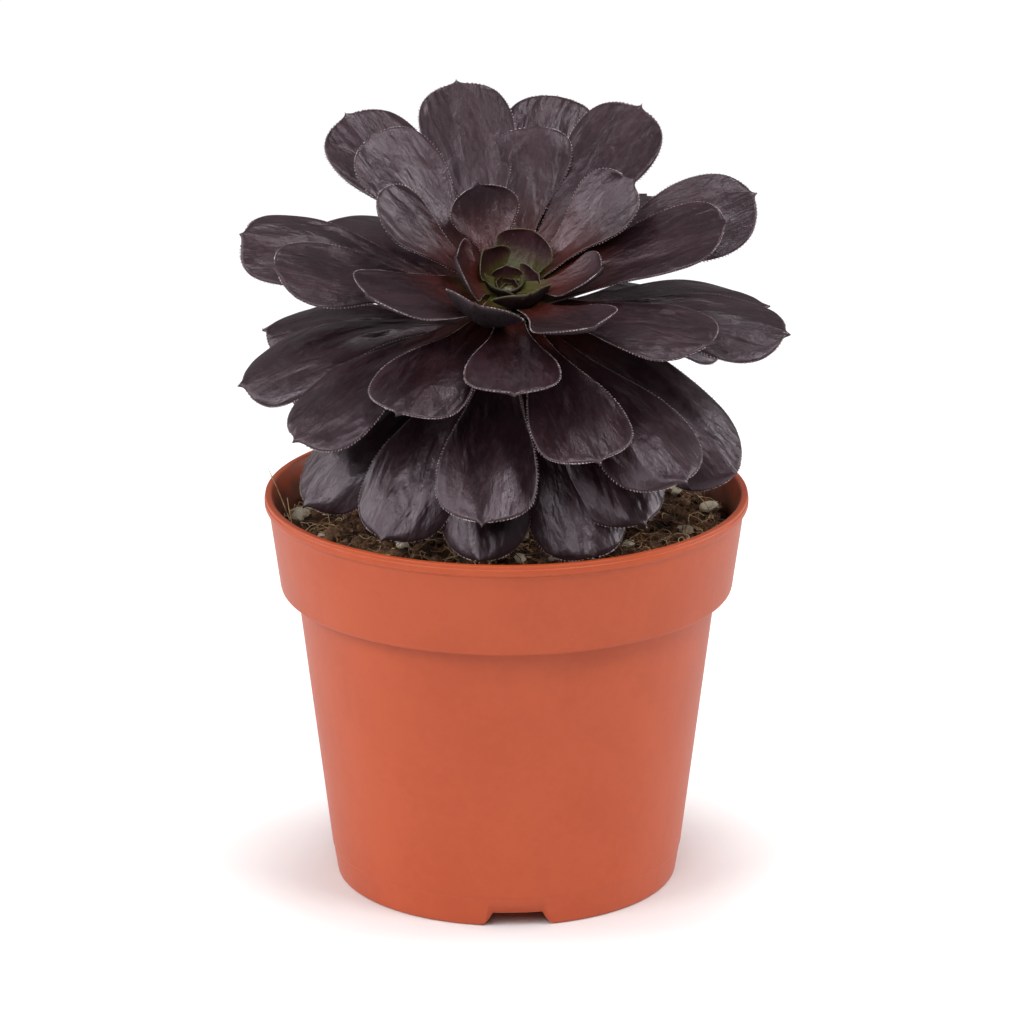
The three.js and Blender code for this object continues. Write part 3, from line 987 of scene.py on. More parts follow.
@dataclass
class Soil:
    """The peat mix with its crumbs, chips, mineral grains and coir fibres."""

    pot: Pot
    seed: int = 11
    z: float = 88.2
    swell: float = 2.6
    clearance: float = 0.25
    steps: int = 224
    rings: int = 52
    lump_kinds: int = 6
    lump_rough: float = 0.3
    sharp_angle: float = 28.0
    stone_shape: Place = (1.35, 1.0, 0.72)
    stone_sink: float = 0.35
    grain_sink: float = 0.65
    fibre_length: tuple[float, float] = (4.0, 17.0)
    fibre_lift: float = 3.2
    fibre_points: int = 9

    def __post_init__(self) -> None:
        """Starts the draws and finds the edge of the soil."""
        self.random = random.Random(self.seed)
        self.edge = self.pot.inside(self.z) - self.clearance

    def height(self, x: float, y: float) -> float:
        """Finds the height of the lumpy surface.

        Args:
            x: Place to the side, about the pot's axis.
            y: Place to the back.

        Returns:
            The height there.
        """
        reach = math.hypot(x, y) / self.pot.lip_radius
        broad = math.sin(x * 0.21 + 1.3) * math.cos(y * 0.19 - 0.4)
        fine = math.sin(x * 0.63 + y * 0.37) * math.sin(y * 0.71 - x * 0.29 + 2)
        clods = noise(Vector((x * 0.34, y * 0.34, 3.1)))
        clods += 0.5 * noise(Vector((x * 0.9, y * 0.9, 8.2)))
        return self.z + self.swell * (1 - reach * reach) + 0.66 * broad + 0.55 * fine + 0.9 * clods

    def place(self, x: float, y: float, lift: float) -> Vector:
        """Returns a point lifted off the surface, in metres."""
        return self.pot.axis + Vector((x, y, self.height(x, y) + lift)) * MM

    def within(self, x: float, y: float, room: float) -> tuple[float, float]:
        """Moves a place inwards where it lies too far out.

        Args:
            x: Place to the side, about the pot's axis.
            y: Place to the back.
            room: How far from the axis it may lie.

        Returns:
            The place that is kept.
        """
        reach = math.hypot(x, y)
        if reach > room:
            return x * room / reach, y * room / reach
        return x, y

    def spread(self) -> tuple[float, float]:
        """Draws a place on the surface.

        Returns:
            Its x and y about the pot's axis.
        """
        reach = (self.edge - 0.8) * math.sqrt(self.random.random())
        angle = self.random.uniform(0, TURN)
        return reach * math.cos(angle), reach * math.sin(angle)

    def bed(self) -> None:
        """Makes the body of the soil, which fills the pot."""
        low = self.pot.floor_underside_z + self.pot.wall + self.clearance
        ledge = self.pot.collar_low_z + 0.3
        section = [(self.edge * index / self.rings, self.z) for index in range(self.rings + 1)]
        section += [
            (self.pot.inside(ledge + 4.2) - self.clearance, ledge + 4.2),
            (self.pot.body_top_radius - self.pot.wall - 0.3, ledge),
            (self.pot.inside(low + 2) - 0.3, low + 2),
            (self.pot.foot_radius - 3.3, low),
            (0.0, low),
        ]
        bm = spun(section, self.steps)
        for vert in bm.verts:
            if vert.co.z > (self.z - 0.5) * MM:
                vert.co.z = self.height(vert.co.x / MM, vert.co.y / MM) * MM
        settle(bm, self.pot.axis)
        finish_piece(bm, "soil_bed", PEAT.material(), ("soil",))

    def lump(self, fineness: int) -> bpy.types.Mesh:
        """Makes an irregular lump of radius 1.

        Args:
            fineness: How often its ball is subdivided.

        Returns:
            The lump's mesh.
        """
        bm = bmesh.new()
        bmesh.ops.create_icosphere(bm, subdivisions=fineness, radius=1.0)
        start = Vector((self.random.uniform(0, 50), 0, 0))
        rough = self.lump_rough
        for vert in bm.verts:
            broad, fine = noise(vert.co * 1.4 + start), noise(vert.co * 3.1 + start)
            vert.co *= 1 + rough * broad + rough * 0.5 * fine
        return mesh_from(bm, "lump")

    def lying(self, x: float, y: float, sizes: Place, sink: float) -> Matrix:
        """Places a grain on the soil.

        Args:
            x: Its place to the side, about the pot's axis.
            y: Its place to the back.
            sizes: Its half sizes.
            sink: How deep its middle lies, as a share of its height.

        Returns:
            The matrix.
        """
        turn = Matrix.Rotation(self.random.uniform(0, 6.3), 4, "Z")
        tilt = Matrix.Rotation(self.random.uniform(-0.5, 0.5), 4, "X")
        scale = Matrix.Diagonal((*(Vector(sizes) * MM), 1.0))
        return Matrix.Translation(self.place(x, y, sizes[2] * (1 - sink))) @ turn @ tilt @ scale

    def grains(self, kind: Grains) -> None:
        """Scatters grains of one kind over the soil.

        Args:
            kind: Which grains, and how many.
        """
        places = []
        for x, y, size in kind.placed:
            long, wide, high = (size * share for share in self.stone_shape)
            places.append(self.lying(x, y, (long, wide, high), self.stone_sink))
        for _ in range(kind.count):
            x, y = self.spread()
            size = lerp(*kind.sizes, self.random.random() ** 2.2)
            long = size * self.random.uniform(1.0, 1.5)
            x, y = self.within(x, y, self.edge - 0.3 - long)
            shape = (long, size * 0.85, size * kind.flatness)
            places.append(self.lying(x, y, shape, self.grain_sink))
        lumps = [self.lump(kind.fineness) for _ in range(self.lump_kinds)]
        material = kind.finish.material()
        finish_piece(scatter(lumps, places), kind.name, material, (), self.sharp_angle)

    def fibre(self, curve: bpy.types.Curve, points: list[Vector], radius: float) -> None:
        """Adds one fibre to a curve.

        Args:
            curve: The curve.
            points: Where the fibre runs, in metres.
            radius: Its radius at the middle; it thins towards both ends.
        """
        spline = curve.splines.new("POLY")
        spline.points.add(len(points) - 1)
        for index, (point, place) in enumerate(zip(spline.points, points)):
            share = index / (len(points) - 1)
            point.co = (*place, 1.0)
            point.radius = radius * (0.35 + 0.65 * math.sin(math.pi * share) ** 0.6)

    def curl(self, x: float, y: float, length: float, lift: float) -> list[Vector]:
        """Runs a curly fibre over the soil.

        Args:
            x: Where it starts, to the side.
            y: Where it starts, to the back.
            length: Its length.
            lift: How high its middle stands off the soil.

        Returns:
            Its points, in metres.
        """
        heading = self.random.uniform(0, TURN)
        bend = self.random.uniform(-1, 1) * 9 / length
        change = self.random.uniform(-0.5, 0.5)
        points = []
        for index in range(self.fibre_points):
            share = index / (self.fibre_points - 1)
            x, y = self.within(x, y, self.edge - 0.6)
            rise = lift * math.sin(math.pi * share) + 0.25 * math.sin(9 * share + heading)
            points.append(self.place(x, y, 0.25 + rise))
            heading += bend + change * math.sin(5 * share)
            x += math.cos(heading) * length / self.fibre_points
            y += math.sin(heading) * length / self.fibre_points
        return points

    def strand(self, start: Vector, middle: Vector, end: Vector) -> list[Vector]:
        """Runs a strand along one bend, given about the pot's axis.

        Args:
            start: Where it starts.
            middle: What its bend is drawn towards.
            end: Where it ends.

        Returns:
            Its points, in metres.
        """
        shares = [index / (self.fibre_points - 1) for index in range(self.fibre_points)]
        bent = [start.lerp(middle, t).lerp(middle.lerp(end, t), t) for t in shares]
        return [self.pot.axis + point * MM for point in bent]

    def fibres(self, kind: Coir) -> None:
        """Strews coir fibres of one kind over the soil.

        Args:
            kind: Which fibres, and how many.
        """
        curve = bpy.data.curves.new(kind.name, "CURVE")
        curve.dimensions = "3D"
        curve.bevel_depth = MM
        curve.bevel_resolution = 0
        curve.use_fill_caps = True
        for _ in range(kind.count):
            x, y = self.spread()
            length = self.random.uniform(*self.fibre_length)
            lift = self.random.random() ** 2 * self.fibre_lift
            run = self.curl(x, y, length, lift)
            self.fibre(curve, run, lerp(*kind.radii, self.random.random()))
        for points in kind.placed:
            self.fibre(curve, self.strand(*map(Vector, points)), kind.radii[1])
        holder = linked(kind.name + "_curve", curve)
        mesh = evaluated_mesh(holder)
        bpy.data.objects.remove(holder)
        bpy.data.curves.remove(curve)
        bm = bmesh.new()
        bm.from_mesh(mesh)
        bpy.data.meshes.remove(mesh)
        bmesh.ops.remove_doubles(bm, verts=bm.verts[:], dist=WELD)
        finish_piece(bm, kind.name, kind.finish.material())

    def build(self) -> None:
        """Makes the soil and what lies on it."""
        self.bed()
        for grains in (CRUMBS, CHIPS, PALE_GRAINS):
            self.grains(grains)
        for fibres in (DARK_FIBRES, PALE_FIBRES):
            self.fibres(fibres)


# ---------------------------------------------------------------------------
# Leaves


@dataclass(frozen=True)
class Stray:
    """How one leaf stands off the spiral's rule: degrees, and millimetres of length."""

    turn: float = 0.0
    longer: float = 0.0
    raised: float = 0.0
    roll: float = 0.0
    curl: float = 0.0
    cup: float = 0.0
    broad: float = 0.0
    blunt: float = 0.0
    wider: float = 0.0
    dull: float = 0.0


STRAYS: dict[int, Stray] = {
    -4: Stray(turn=-6.5, longer=-1.5, raised=-12, roll=22, cup=-0.15, wider=0.12),
    -3: Stray(turn=-4.5, longer=-0.5, raised=4.5, roll=10, cup=0.1, broad=0.2, wider=0.25),
    -2: Stray(turn=6, longer=2, raised=-8.5, curl=50, cup=0.1, wider=0.3),
    -1: Stray(turn=-4.5, longer=-3, raised=-3, broad=0.4, wider=0.18, dull=0.8),
    0: Stray(turn=4, longer=-3, raised=7, roll=-18, cup=-0.1, wider=0.3),
    1: Stray(turn=-2.5, raised=-7.5),
    2: Stray(turn=-4, longer=-6.5, raised=0.5, blunt=0.1),
    3: Stray(turn=1.5, raised=2, roll=-10, curl=45, cup=0.15, blunt=-0.3, wider=0.08),
    4: Stray(turn=-3, longer=-1.5, raised=-2.5, blunt=0.5),
    5: Stray(turn=3, longer=-3.5, raised=5.5, roll=-8, blunt=0.2, wider=-0.2, dull=0.9),
    6: Stray(turn=-8.5, raised=1.5, blunt=-0.3),
    7: Stray(turn=-3, longer=-3.5, raised=-12.5, roll=-14, blunt=0.5),
    8: Stray(turn=3, raised=4.5, broad=0.5, blunt=-0.3, wider=0.15),
    9: Stray(turn=1.5, longer=2, raised=1.5, broad=0.35, blunt=0.3),
    10: Stray(turn=-1.5, longer=-4, raised=-5, blunt=0.5),
    11: Stray(turn=-2, raised=1, blunt=-1),
    12: Stray(turn=2, raised=1, blunt=0.5, dull=0.2),
    13: Stray(turn=4, longer=-0.5, raised=-3, blunt=0.5),
    14: Stray(turn=-1.5, longer=-0.5, raised=4, roll=-5, broad=0.15, blunt=-0.3),
    15: Stray(turn=-1, raised=-3, blunt=0.5, dull=0.2),
    16: Stray(turn=4, raised=2, blunt=-0.5),
    17: Stray(longer=1.5, raised=2.5, roll=8, blunt=0.3, wider=0.06, dull=0.2),
    19: Stray(turn=-4.5, raised=1, blunt=-1),
    20: Stray(turn=7.5, raised=-3, blunt=0.7, dull=0.9),
    21: Stray(turn=9.5, raised=-13.5, roll=8, curl=-18, broad=-0.08, blunt=0.5),
    22: Stray(turn=1.5, longer=2, raised=2, roll=-5, blunt=0.3),
    23: Stray(turn=5, longer=0.5, raised=3, blunt=0.7, dull=0.3),
    24: Stray(turn=3.5, raised=-5, blunt=-1),
    25: Stray(turn=7.5, longer=-3, raised=-11.5),
    26: Stray(turn=-5, raised=7, blunt=0.8, dull=0.3),
    27: Stray(turn=-5, raised=2, wider=0.08),
    28: Stray(raised=-6),
    29: Stray(turn=13, raised=-12.5, blunt=0.3),
    30: Stray(turn=4.5, longer=-3, raised=-1, roll=-12),
    31: Stray(turn=-5.5, longer=-2.5, raised=-12.5, broad=0.3),
    32: Stray(turn=7.5, longer=0.5, raised=-6, blunt=0.3, dull=0.7),
    33: Stray(raised=-8),
    34: Stray(turn=-2, longer=1, raised=1, roll=8, curl=-18, broad=-0.08, blunt=0.5),
    35: Stray(turn=-3, longer=1, raised=-3, roll=8, curl=-8, broad=0.6, wider=0.08, dull=0.8),
    36: Stray(raised=-8),
    37: Stray(turn=15, longer=-0.5, raised=2, wider=-0.1, dull=0.6),
    38: Stray(turn=6, longer=-4, raised=-14),
    39: Stray(raised=-26),
    40: Stray(turn=0.5, longer=-2.5, raised=10.5),
    41: Stray(raised=-8),
    42: Stray(turn=1, raised=-1.5, blunt=0.3, wider=-0.06),
    43: Stray(turn=26, longer=-7, raised=-1.5, roll=-8),
    44: Stray(raised=-12),
    46: Stray(turn=6, raised=-22),
    47: Stray(turn=-15.5, longer=-4.5, raised=7, roll=12, broad=-0.1),
}


@dataclass(frozen=True)
class Stance:
    """Size and stance of one leaf: millimetres and radians."""

    age: int
    azimuth: float
    length: float
    rise: float
    bend: float
    roll: float
    width: float
    cup: float
    root_radius: float
    root_height: float
    neck: float
    swell: float
    point: float
    mucro: float
    widest: float

    @property
    def grown(self) -> float:
        """The age of a dark leaf, and 0 for one of the heart."""
        return max(self.age, 0)


@dataclass
class Spiral:
    """The rosette's own frame and the rule by which its leaves follow each other.

    Pairs give a value for a young leaf or one at the back first, then for an old leaf or one in
    front.
    """

    pot: Pot
    lean: float = math.radians(24)
    apex: Place = (0.4, -2.0, 152.8)
    first_azimuth: float = 201.0
    leaf_length: float = 66.0
    seedling_length: float = 20.0
    leaf_width: float = 24.8
    growth_age: float = 7.6
    heart_age: float = 4.8
    full_age: int = 24
    shrink: float = 0.15
    first_bend: float = 40.0
    bend_age: float = 7.0
    first_rise: float = 45.0
    fall: float = 62.0
    last_age: int = 45
    spacing: float = 0.34
    widest: float = 0.78
    neck: float = 0.3
    facing: float = 9.0
    rim: float = 0.7
    midrib: tuple[float, float] = (2.4, 1.3)
    dome: tuple[float, float] = (0.18, 0.32)
    droop: tuple[float, float] = (0.035, 0.07)
    groove: tuple[float, float] = (0.28, 0.05)
    keel: float = 0.35
    wave: float = 0.5
    sway: float = 0.6
    mucro: float = 2.3
    mucro_width: float = 0.105
    crown_depth: float = 18.4
    crown_radius: float = 6.4
    crown_top_radius: float = 4.2

    def world(self, x: float, y: float, h: float) -> Vector:
        """Turns a point of the rosette's frame into one of the shared frame.

        Args:
            x: Place to the side.
            y: Place to the back.
            h: Height along the leaning axis.

        Returns:
            The point, in metres.
        """
        sine, cosine = math.sin(self.lean), math.cos(self.lean)
        ax, ay, az = self.apex
        place = Vector((ax + x, ay + y * cosine - h * sine, az + y * sine + h * cosine))
        return self.pot.axis + place * MM

    def full_length(self, age: int) -> float:
        """Finds how long a leaf is by the rule.

        Args:
            age: Its place in the spiral.

        Returns:
            Its length.
        """
        if age > 0:
            growing = (self.leaf_length - self.seedling_length) * math.exp(-age / self.growth_age)
            return self.leaf_length - growing - self.shrink * max(0, age - self.full_age)
        return self.seedling_length * math.exp(age / self.heart_age)

    def arch(self, age: int) -> float:
        """Finds how far a leaf arches upwards by the rule.

        Args:
            age: Its place in the spiral.

        Returns:
            The angle in degrees from its root to its tip.
        """
        if age > 0:
            return self.first_bend * math.exp(-age / self.bend_age) - 0.5 * age
        return max(0, self.first_bend + 4 * age)

    def stance(self, age: int) -> Stance:
        """Works out the leaf of one age.

        Args:
            age: Its place in the spiral: 0 is the youngest dark leaf, below 0 is the heart.

        Returns:
            Its size and stance.
        """
        stray = STRAYS.get(age, Stray())
        grown = max(age, 0)
        azimuth = math.radians(self.first_azimuth + GOLDEN_ANGLE * age + stray.turn)
        full = self.full_length(age)
        rise = (
            self.first_rise
            - self.fall * (grown / self.last_age) ** 0.8
            + (4 + 0.2 * grown) * math.sin(azimuth)
            - 4 * min(1, grown / 10) * math.cos(azimuth)
            + stray.raised
            - min(age, 0) * 3
        )
        back = 0.5 + 0.5 * math.sin(azimuth)
        return Stance(
            age=age,
            azimuth=azimuth,
            length=full + stray.longer if age > -5 else full,
            rise=math.radians(rise),
            bend=math.radians(self.arch(age) + stray.curl),
            roll=math.radians(self.facing * math.cos(azimuth) * back + stray.roll),
            width=self.leaf_width * (full / self.leaf_length) ** 0.45 * (1 + stray.wider),
            cup=0.3 * math.exp(-grown / 12) - 0.002 * grown + stray.cup,
            root_radius=3 + 0.04 * age if age > 0 else max(0.4, 3 + 0.2 * age),
            root_height=-self.spacing * age if age > 0 else max(-2.8, 0.6 * age),
            neck=self.neck + stray.broad,
            swell=2.1 + abs(stray.blunt) + 0.2 * noise(Vector((age * 0.77, 0.3, 5.0))),
            point=0.58 - 0.28 * stray.blunt + 0.08 * noise(Vector((age * 0.61, 4.2, 1.0))),
            mucro=self.mucro * min(1.0, 0.25 + full / 55) * (1 - stray.dull),
            widest=lerp(0.62, self.widest, smooth_step(-2, 4, age)),
        )

    def at(self, leaf: Stance, side: float, share: float, lift: float) -> Vector:
        """Finds a point of a leaf.

        Args:
            leaf: The leaf.
            side: How far it lies from the midrib.
            share: Its share of the leaf's length.
            lift: How high it lies above the midrib's arch.

        Returns:
            The point, in metres.
        """
        start = leaf.rise - leaf.bend / 2
        angle = leaf.rise + leaf.bend * (share - 0.5)
        if abs(leaf.bend) < 1e-4:
            reach = leaf.length * share * math.cos(angle)
            height = leaf.length * share * math.sin(angle)
        else:
            reach = leaf.length * (math.sin(angle) - math.sin(start)) / leaf.bend
            height = leaf.length * (math.cos(start) - math.cos(angle)) / leaf.bend
        rolled = side * math.cos(leaf.roll) - lift * math.sin(leaf.roll)
        raised = side * math.sin(leaf.roll) + lift * math.cos(leaf.roll)
        out = leaf.root_radius + reach - raised * math.sin(angle)
        cosine, sine = math.cos(leaf.azimuth), math.sin(leaf.azimuth)
        return self.world(
            out * cosine - rolled * sine,
            out * sine + rolled * cosine,
            leaf.root_height + height + raised * math.cos(angle),
        )

    def half_width(self, leaf: Stance, share: float) -> float:
        """Finds how wide a leaf is.

        Args:
            leaf: The leaf.
            share: The share of its length.

        Returns:
            Half of its width there.
        """
        if share <= leaf.widest:
            swell = math.sin(math.pi / 2 * (share / leaf.widest) ** 1.85) ** 2
            body = lerp(leaf.neck, 1.0, swell)
        else:
            past = min(1.0, (share - leaf.widest) / (1 - leaf.widest))
            body = (1 - past**leaf.swell) ** leaf.point
        return body * leaf.width / 2

    def pointed(self, leaf: Stance, wide: float, high: float) -> float:
        """Returns how far a leaf's point reaches out past its round end, as a share of length."""
        peak = math.exp(-((wide / self.mucro_width) ** 2)) * smooth_step(0.75, 1.0, high)
        return leaf.mucro * peak / leaf.length

    def surface(self, leaf: Stance, across: float, share: float, under: bool) -> Vector:
        """Finds a point of a leaf's skin, with its dome, midrib and wrinkles.

        Args:
            leaf: The leaf.
            across: From -1 at one edge to 1 at the other.
            share: Its share of the leaf's length.
            under: Whether it lies on the under side.

        Returns:
            The point, in metres.
        """
        half = self.half_width(leaf, share)
        taper = lerp(1.0, 0.5, smooth_step(1.0, 1.03, share))
        rim = self.rim * taper * min(1.0, 0.4 + leaf.length / 60)
        thick = max(rim * 1.3, self.midrib[0] * math.sqrt(leaf.length / self.leaf_length))
        centre = taper * lerp(thick, min(thick, self.midrib[1]), min(share, 1))
        far = across * across
        mature = min(1.0, leaf.grown / 26)
        front = 0.5 - 0.5 * math.sin(leaf.azimuth)
        dome = lerp(*self.dome, front) * mature * smooth_step(0.4, 0.9, share)
        lift = (leaf.cup - dome) * half * far
        lift -= lerp(*self.droop, front) * mature * leaf.length * smooth_step(0.62, 1.1, share)
        small = min(1.0, leaf.length / 30)
        crease = noise(Vector((across * 2.6, share * 3.2, leaf.age * 7.3)))
        ridges = noise(Vector((across * 6.5, share * 4.0, leaf.age * 3.1)))
        calm = smooth_step(0.12, 0.5, share) * (1 - far * far) * small
        lift += calm * (0.55 * mature + 0.2) * crease
        lift -= calm * (0.4 * mature + 0.12) * abs(ridges)
        wave = noise(Vector((across * 1.5, share * 5.5, leaf.age * 1.7)))
        lift += self.wave * small * far * smooth_step(0.2, 0.6, share) * wave
        if under:
            drop = rim + (centre - rim) * (1 - far)
            keel = self.keel * small * math.exp(-((across / 0.16) ** 2)) * (1 - share * 0.6)
            lift -= drop + keel
        else:
            groove = lerp(*self.groove, mature) * small * math.exp(-((across / 0.13) ** 2))
            lift -= groove * smooth_step(1.0, 0.5, share)
        sway = self.sway * small * noise(Vector((leaf.age * 5.1, share * 1.6, 0.5))) * share
        return self.at(leaf, across * half + sway, share, lift)


@dataclass
class Leaves:
    """A whorl of leaves in one mesh, from one age to another."""

    spiral: Spiral
    grid: tuple[int, int] = (14, 26)
    small_grid: tuple[int, int] = (8, 12)
    small_length: float = 12.0
    round_from: float = 0.62
    crowding: float = 1.2
    tooth_radii: tuple[float, float] = (0.17, 0.07)
    tooth_length: float = 0.56
    fringe_from: float = 0.2
    fringe_step: float = 0.84
    probe: float = 0.004

    def spot(self, stance: Stance, x: float, y: float) -> tuple[float, float]:
        """Lays the square sheet's places over the leaf, with its last row round the blunt end.

        Args:
            stance: The leaf.
            x: Place across the sheet, from -1 to 1.
            y: Place along it, from -1 at the root to 1 at the tip.

        Returns:
            The place across the leaf, from -1 to 1, and the share of its length.
        """
        widest = stance.widest
        across = math.sin(x * self.crowding) / math.sin(self.crowding)
        along = (y + 1) / 2
        if along < self.round_from:
            return across, widest * along / self.round_from
        ahead = (along - self.round_from) / (1 - self.round_from)
        high = ahead * math.sqrt(1 - across * across / 2)
        wide = across * math.sqrt(1 - ahead * ahead / 2)
        room = math.sqrt(max(1e-6, 1 - high * high))
        share = widest + (1 - widest) * high + self.spiral.pointed(stance, wide, high)
        return max(-1.0, min(1.0, wide / room)), share

    def leaf(self, bm: bmesh.types.BMesh, stance: Stance) -> None:
        """Adds a closed leaf: a thickened grid that is laid along the leaf's arch.

        Args:
            bm: The mesh that it goes into.
            stance: The leaf.
        """
        sheet = bmesh.new()
        columns, rows = self.small_grid if stance.length < self.small_length else self.grid
        bmesh.ops.create_grid(sheet, x_segments=columns, y_segments=rows, size=1.0)
        bmesh.ops.solidify(sheet, geom=sheet.faces[:], thickness=0.2)
        heights = [vert.co.z for vert in sheet.verts]
        middle = (min(heights) + max(heights)) / 2
        chance = random.Random(stance.age)
        youth, tint = smooth_step(16, -3, stance.age), chance.random()
        uv = sheet.loops.layers.uv.new("leaf")
        for name in LEAF_VALUES:
            sheet.verts.layers.float.new(name)
        layers = [sheet.verts.layers.float[name] for name in LEAF_VALUES]
        for vert in sheet.verts:
            x, y, under = vert.co.x, vert.co.y, vert.co.z < middle
            across, share = self.spot(stance, x, y)
            rim = max(0.0, 1 - (1 - abs(x)) * columns / 2, 1 - (1 - y) * rows / 2)
            side = across * self.spiral.half_width(stance, share)
            vert.co = self.spiral.surface(stance, across, share, under)
            for layer, value in zip(layers, (youth, tint, float(under), share, rim)):
                vert[layer] = value
            for loop in vert.link_loops:
                along = share * stance.length / self.spiral.leaf_length
                loop[uv].uv = (side / self.spiral.leaf_width, along)
        bmesh.ops.recalc_face_normals(sheet, faces=sheet.faces[:])
        absorb(bm, sheet)

    def blades(
        self,
        name: str,
        ages: Iterable[int],
        material: bpy.types.Material,
        node: str,
        core: Callable[[bmesh.types.BMesh], None] | None = None,
    ) -> None:
        """Makes the leaves of several ages one piece.

        Args:
            name: The piece's name.
            ages: The leaves' ages.
            material: Their material.
            node: The CAD node that they stand for.
            core: Adds what they grow from.
        """
        bm = bmesh.new()
        for age in ages:
            self.leaf(bm, self.spiral.stance(age))
        if core:
            core(bm)
        piece = finish_piece(bm, name, material, (node,))
        soften = piece.modifiers.new("soften", "SUBSURF")
        soften.levels = soften.render_levels = 1

    def fringe(
        self,
        name: str,
        ages: Iterable[int],
        finish: EarthFinish,
        node: str,
    ) -> None:
        """Lines the leaves' edges with short pale teeth.

        Args:
            name: The piece's name.
            ages: The leaves' ages.
            finish: The teeth's finish.
            node: The CAD node that they belong to.
        """
        bm = bmesh.new()
        low, high = self.tooth_radii
        depth = self.tooth_length * MM
        bmesh.ops.create_cone(
            bm, cap_ends=True, segments=4, radius1=low * MM, radius2=high * MM, depth=depth
        )
        tooth = mesh_from(bm, "tooth")
        places = []
        for age in ages:
            places += self.teeth(self.spiral.stance(age))
        finish_piece(scatter([tooth], places), name, finish.material(), (node,))

    def teeth(self, leaf: Stance) -> list[Matrix]:
        """Stands teeth along both edges of a leaf.

        Args:
            leaf: The leaf.

        Returns:
            One matrix for each tooth.
        """
        chance = random.Random(1000 + leaf.age)
        size = min(1.0, 0.35 + leaf.length / 50)
        places = []
        for edge in (-1, 1):
            share = self.fringe_from
            while share < 1.0:
                half = self.spiral.half_width(leaf, share)
                ahead = self.spiral.half_width(leaf, share + self.probe)
                slope = (ahead - half) / (self.probe * leaf.length)
                past = max(0.0, (share - leaf.widest) / (1 - leaf.widest))
                wide = math.sqrt(max(0.0, 1 - past * past))
                reach = share + self.spiral.pointed(leaf, wide, past) * 0.7
                skin = [self.spiral.surface(leaf, edge, reach, side) for side in (False, True)]
                rim = (skin[0] + skin[1]) / 2
                inner = self.spiral.surface(leaf, edge * 0.93, reach, False)
                forward = self.spiral.surface(leaf, edge, reach + self.probe, False) - skin[0]
                outward = (skin[0] - inner).normalized()
                out = outward + forward.normalized() * (0.5 - min(0.5, slope))
                scale = size * chance.uniform(0.75, 1.2)
                stand = facing(out.normalized(), rim, chance.uniform(0, 1.5))
                places.append(stand @ Matrix.Diagonal((scale, scale, scale, 1.0)))
                stride = self.fringe_step * size * chance.uniform(0.75, 1.25)
                share += stride / (leaf.length * math.hypot(1, slope))
        return places


@dataclass
class Rosette:
    """The dark leaves on their crown, and the heart in the middle."""

    spiral: Spiral
    oldest: int = 47
    youngest: int = -13
    lost: tuple[int, ...] = (18, 45)
    whorls: tuple[int, ...] = (0, 11, 26, 48)
    youngest_fringed: int = -6
    core_sides: int = 24

    def crown(self, bm: bmesh.types.BMesh) -> None:
        """Adds the crown that the dark leaves grow from."""
        spiral = self.spiral
        self.core(bm, -1.0, spiral.crown_top_radius, -spiral.crown_depth, spiral.crown_radius)

    def tip(self, bm: bmesh.types.BMesh) -> None:
        """Adds the growing tip that the heart's leaves stand on."""
        self.core(bm, -1.4, 1.0, -3.4, 2.1)

    def core(
        self,
        bm: bmesh.types.BMesh,
        top: float,
        top_radius: float,
        low: float,
        low_radius: float,
    ) -> None:
        """Adds a round core along the rosette's axis.

        Args:
            bm: The mesh that it goes into.
            top: Height of its top.
            top_radius: Radius there.
            low: Height of its foot.
            low_radius: Radius there.
        """
        piece = bmesh.new()
        bmesh.ops.create_cone(
            piece,
            cap_ends=True,
            segments=self.core_sides,
            radius1=low_radius,
            radius2=low_radius,
            depth=1.0,
        )
        upright = [
            edge for edge in piece.edges if abs(edge.verts[0].co.z - edge.verts[1].co.z) > 0.5
        ]
        bmesh.ops.subdivide_edges(piece, edges=upright, cuts=6, use_grid_fill=True)
        for vert in piece.verts:
            share = vert.co.z + 0.5
            narrow = lerp(low_radius, top_radius, share**5) / low_radius
            height = lerp(low, top, share)
            vert.co = self.spiral.world(vert.co.x * narrow, vert.co.y * narrow, height)
        absorb(bm, piece)

    def build(self) -> None:
        """Makes the leaves, their fringes and the heart."""
        leaves = Leaves(self.spiral)
        skin = DARK_SKIN.material()
        names = ("inner_leaves", "middle_leaves", "outer_leaves")
        for name, first, last in zip(names, self.whorls, self.whorls[1:]):
            ages = [age for age in range(first, last) if age not in self.lost]
            core = self.crown if name == "outer_leaves" else None
            leaves.blades(name, ages, skin, "rosette", core)
        dark = [age for age in range(0, self.oldest + 1) if age not in self.lost]
        leaves.fringe("leaf_fringe", dark, FRINGE, "rosette")
        young = range(self.youngest, 0)
        leaves.blades("heart_leaves", young, HEART_SKIN.material(), "heart", self.tip)
        fringed = range(self.youngest_fringed, 0)
        leaves.fringe("heart_fringe", fringed, YOUNG_FRINGE, "heart")


# ---------------------------------------------------------------------------
# Stem


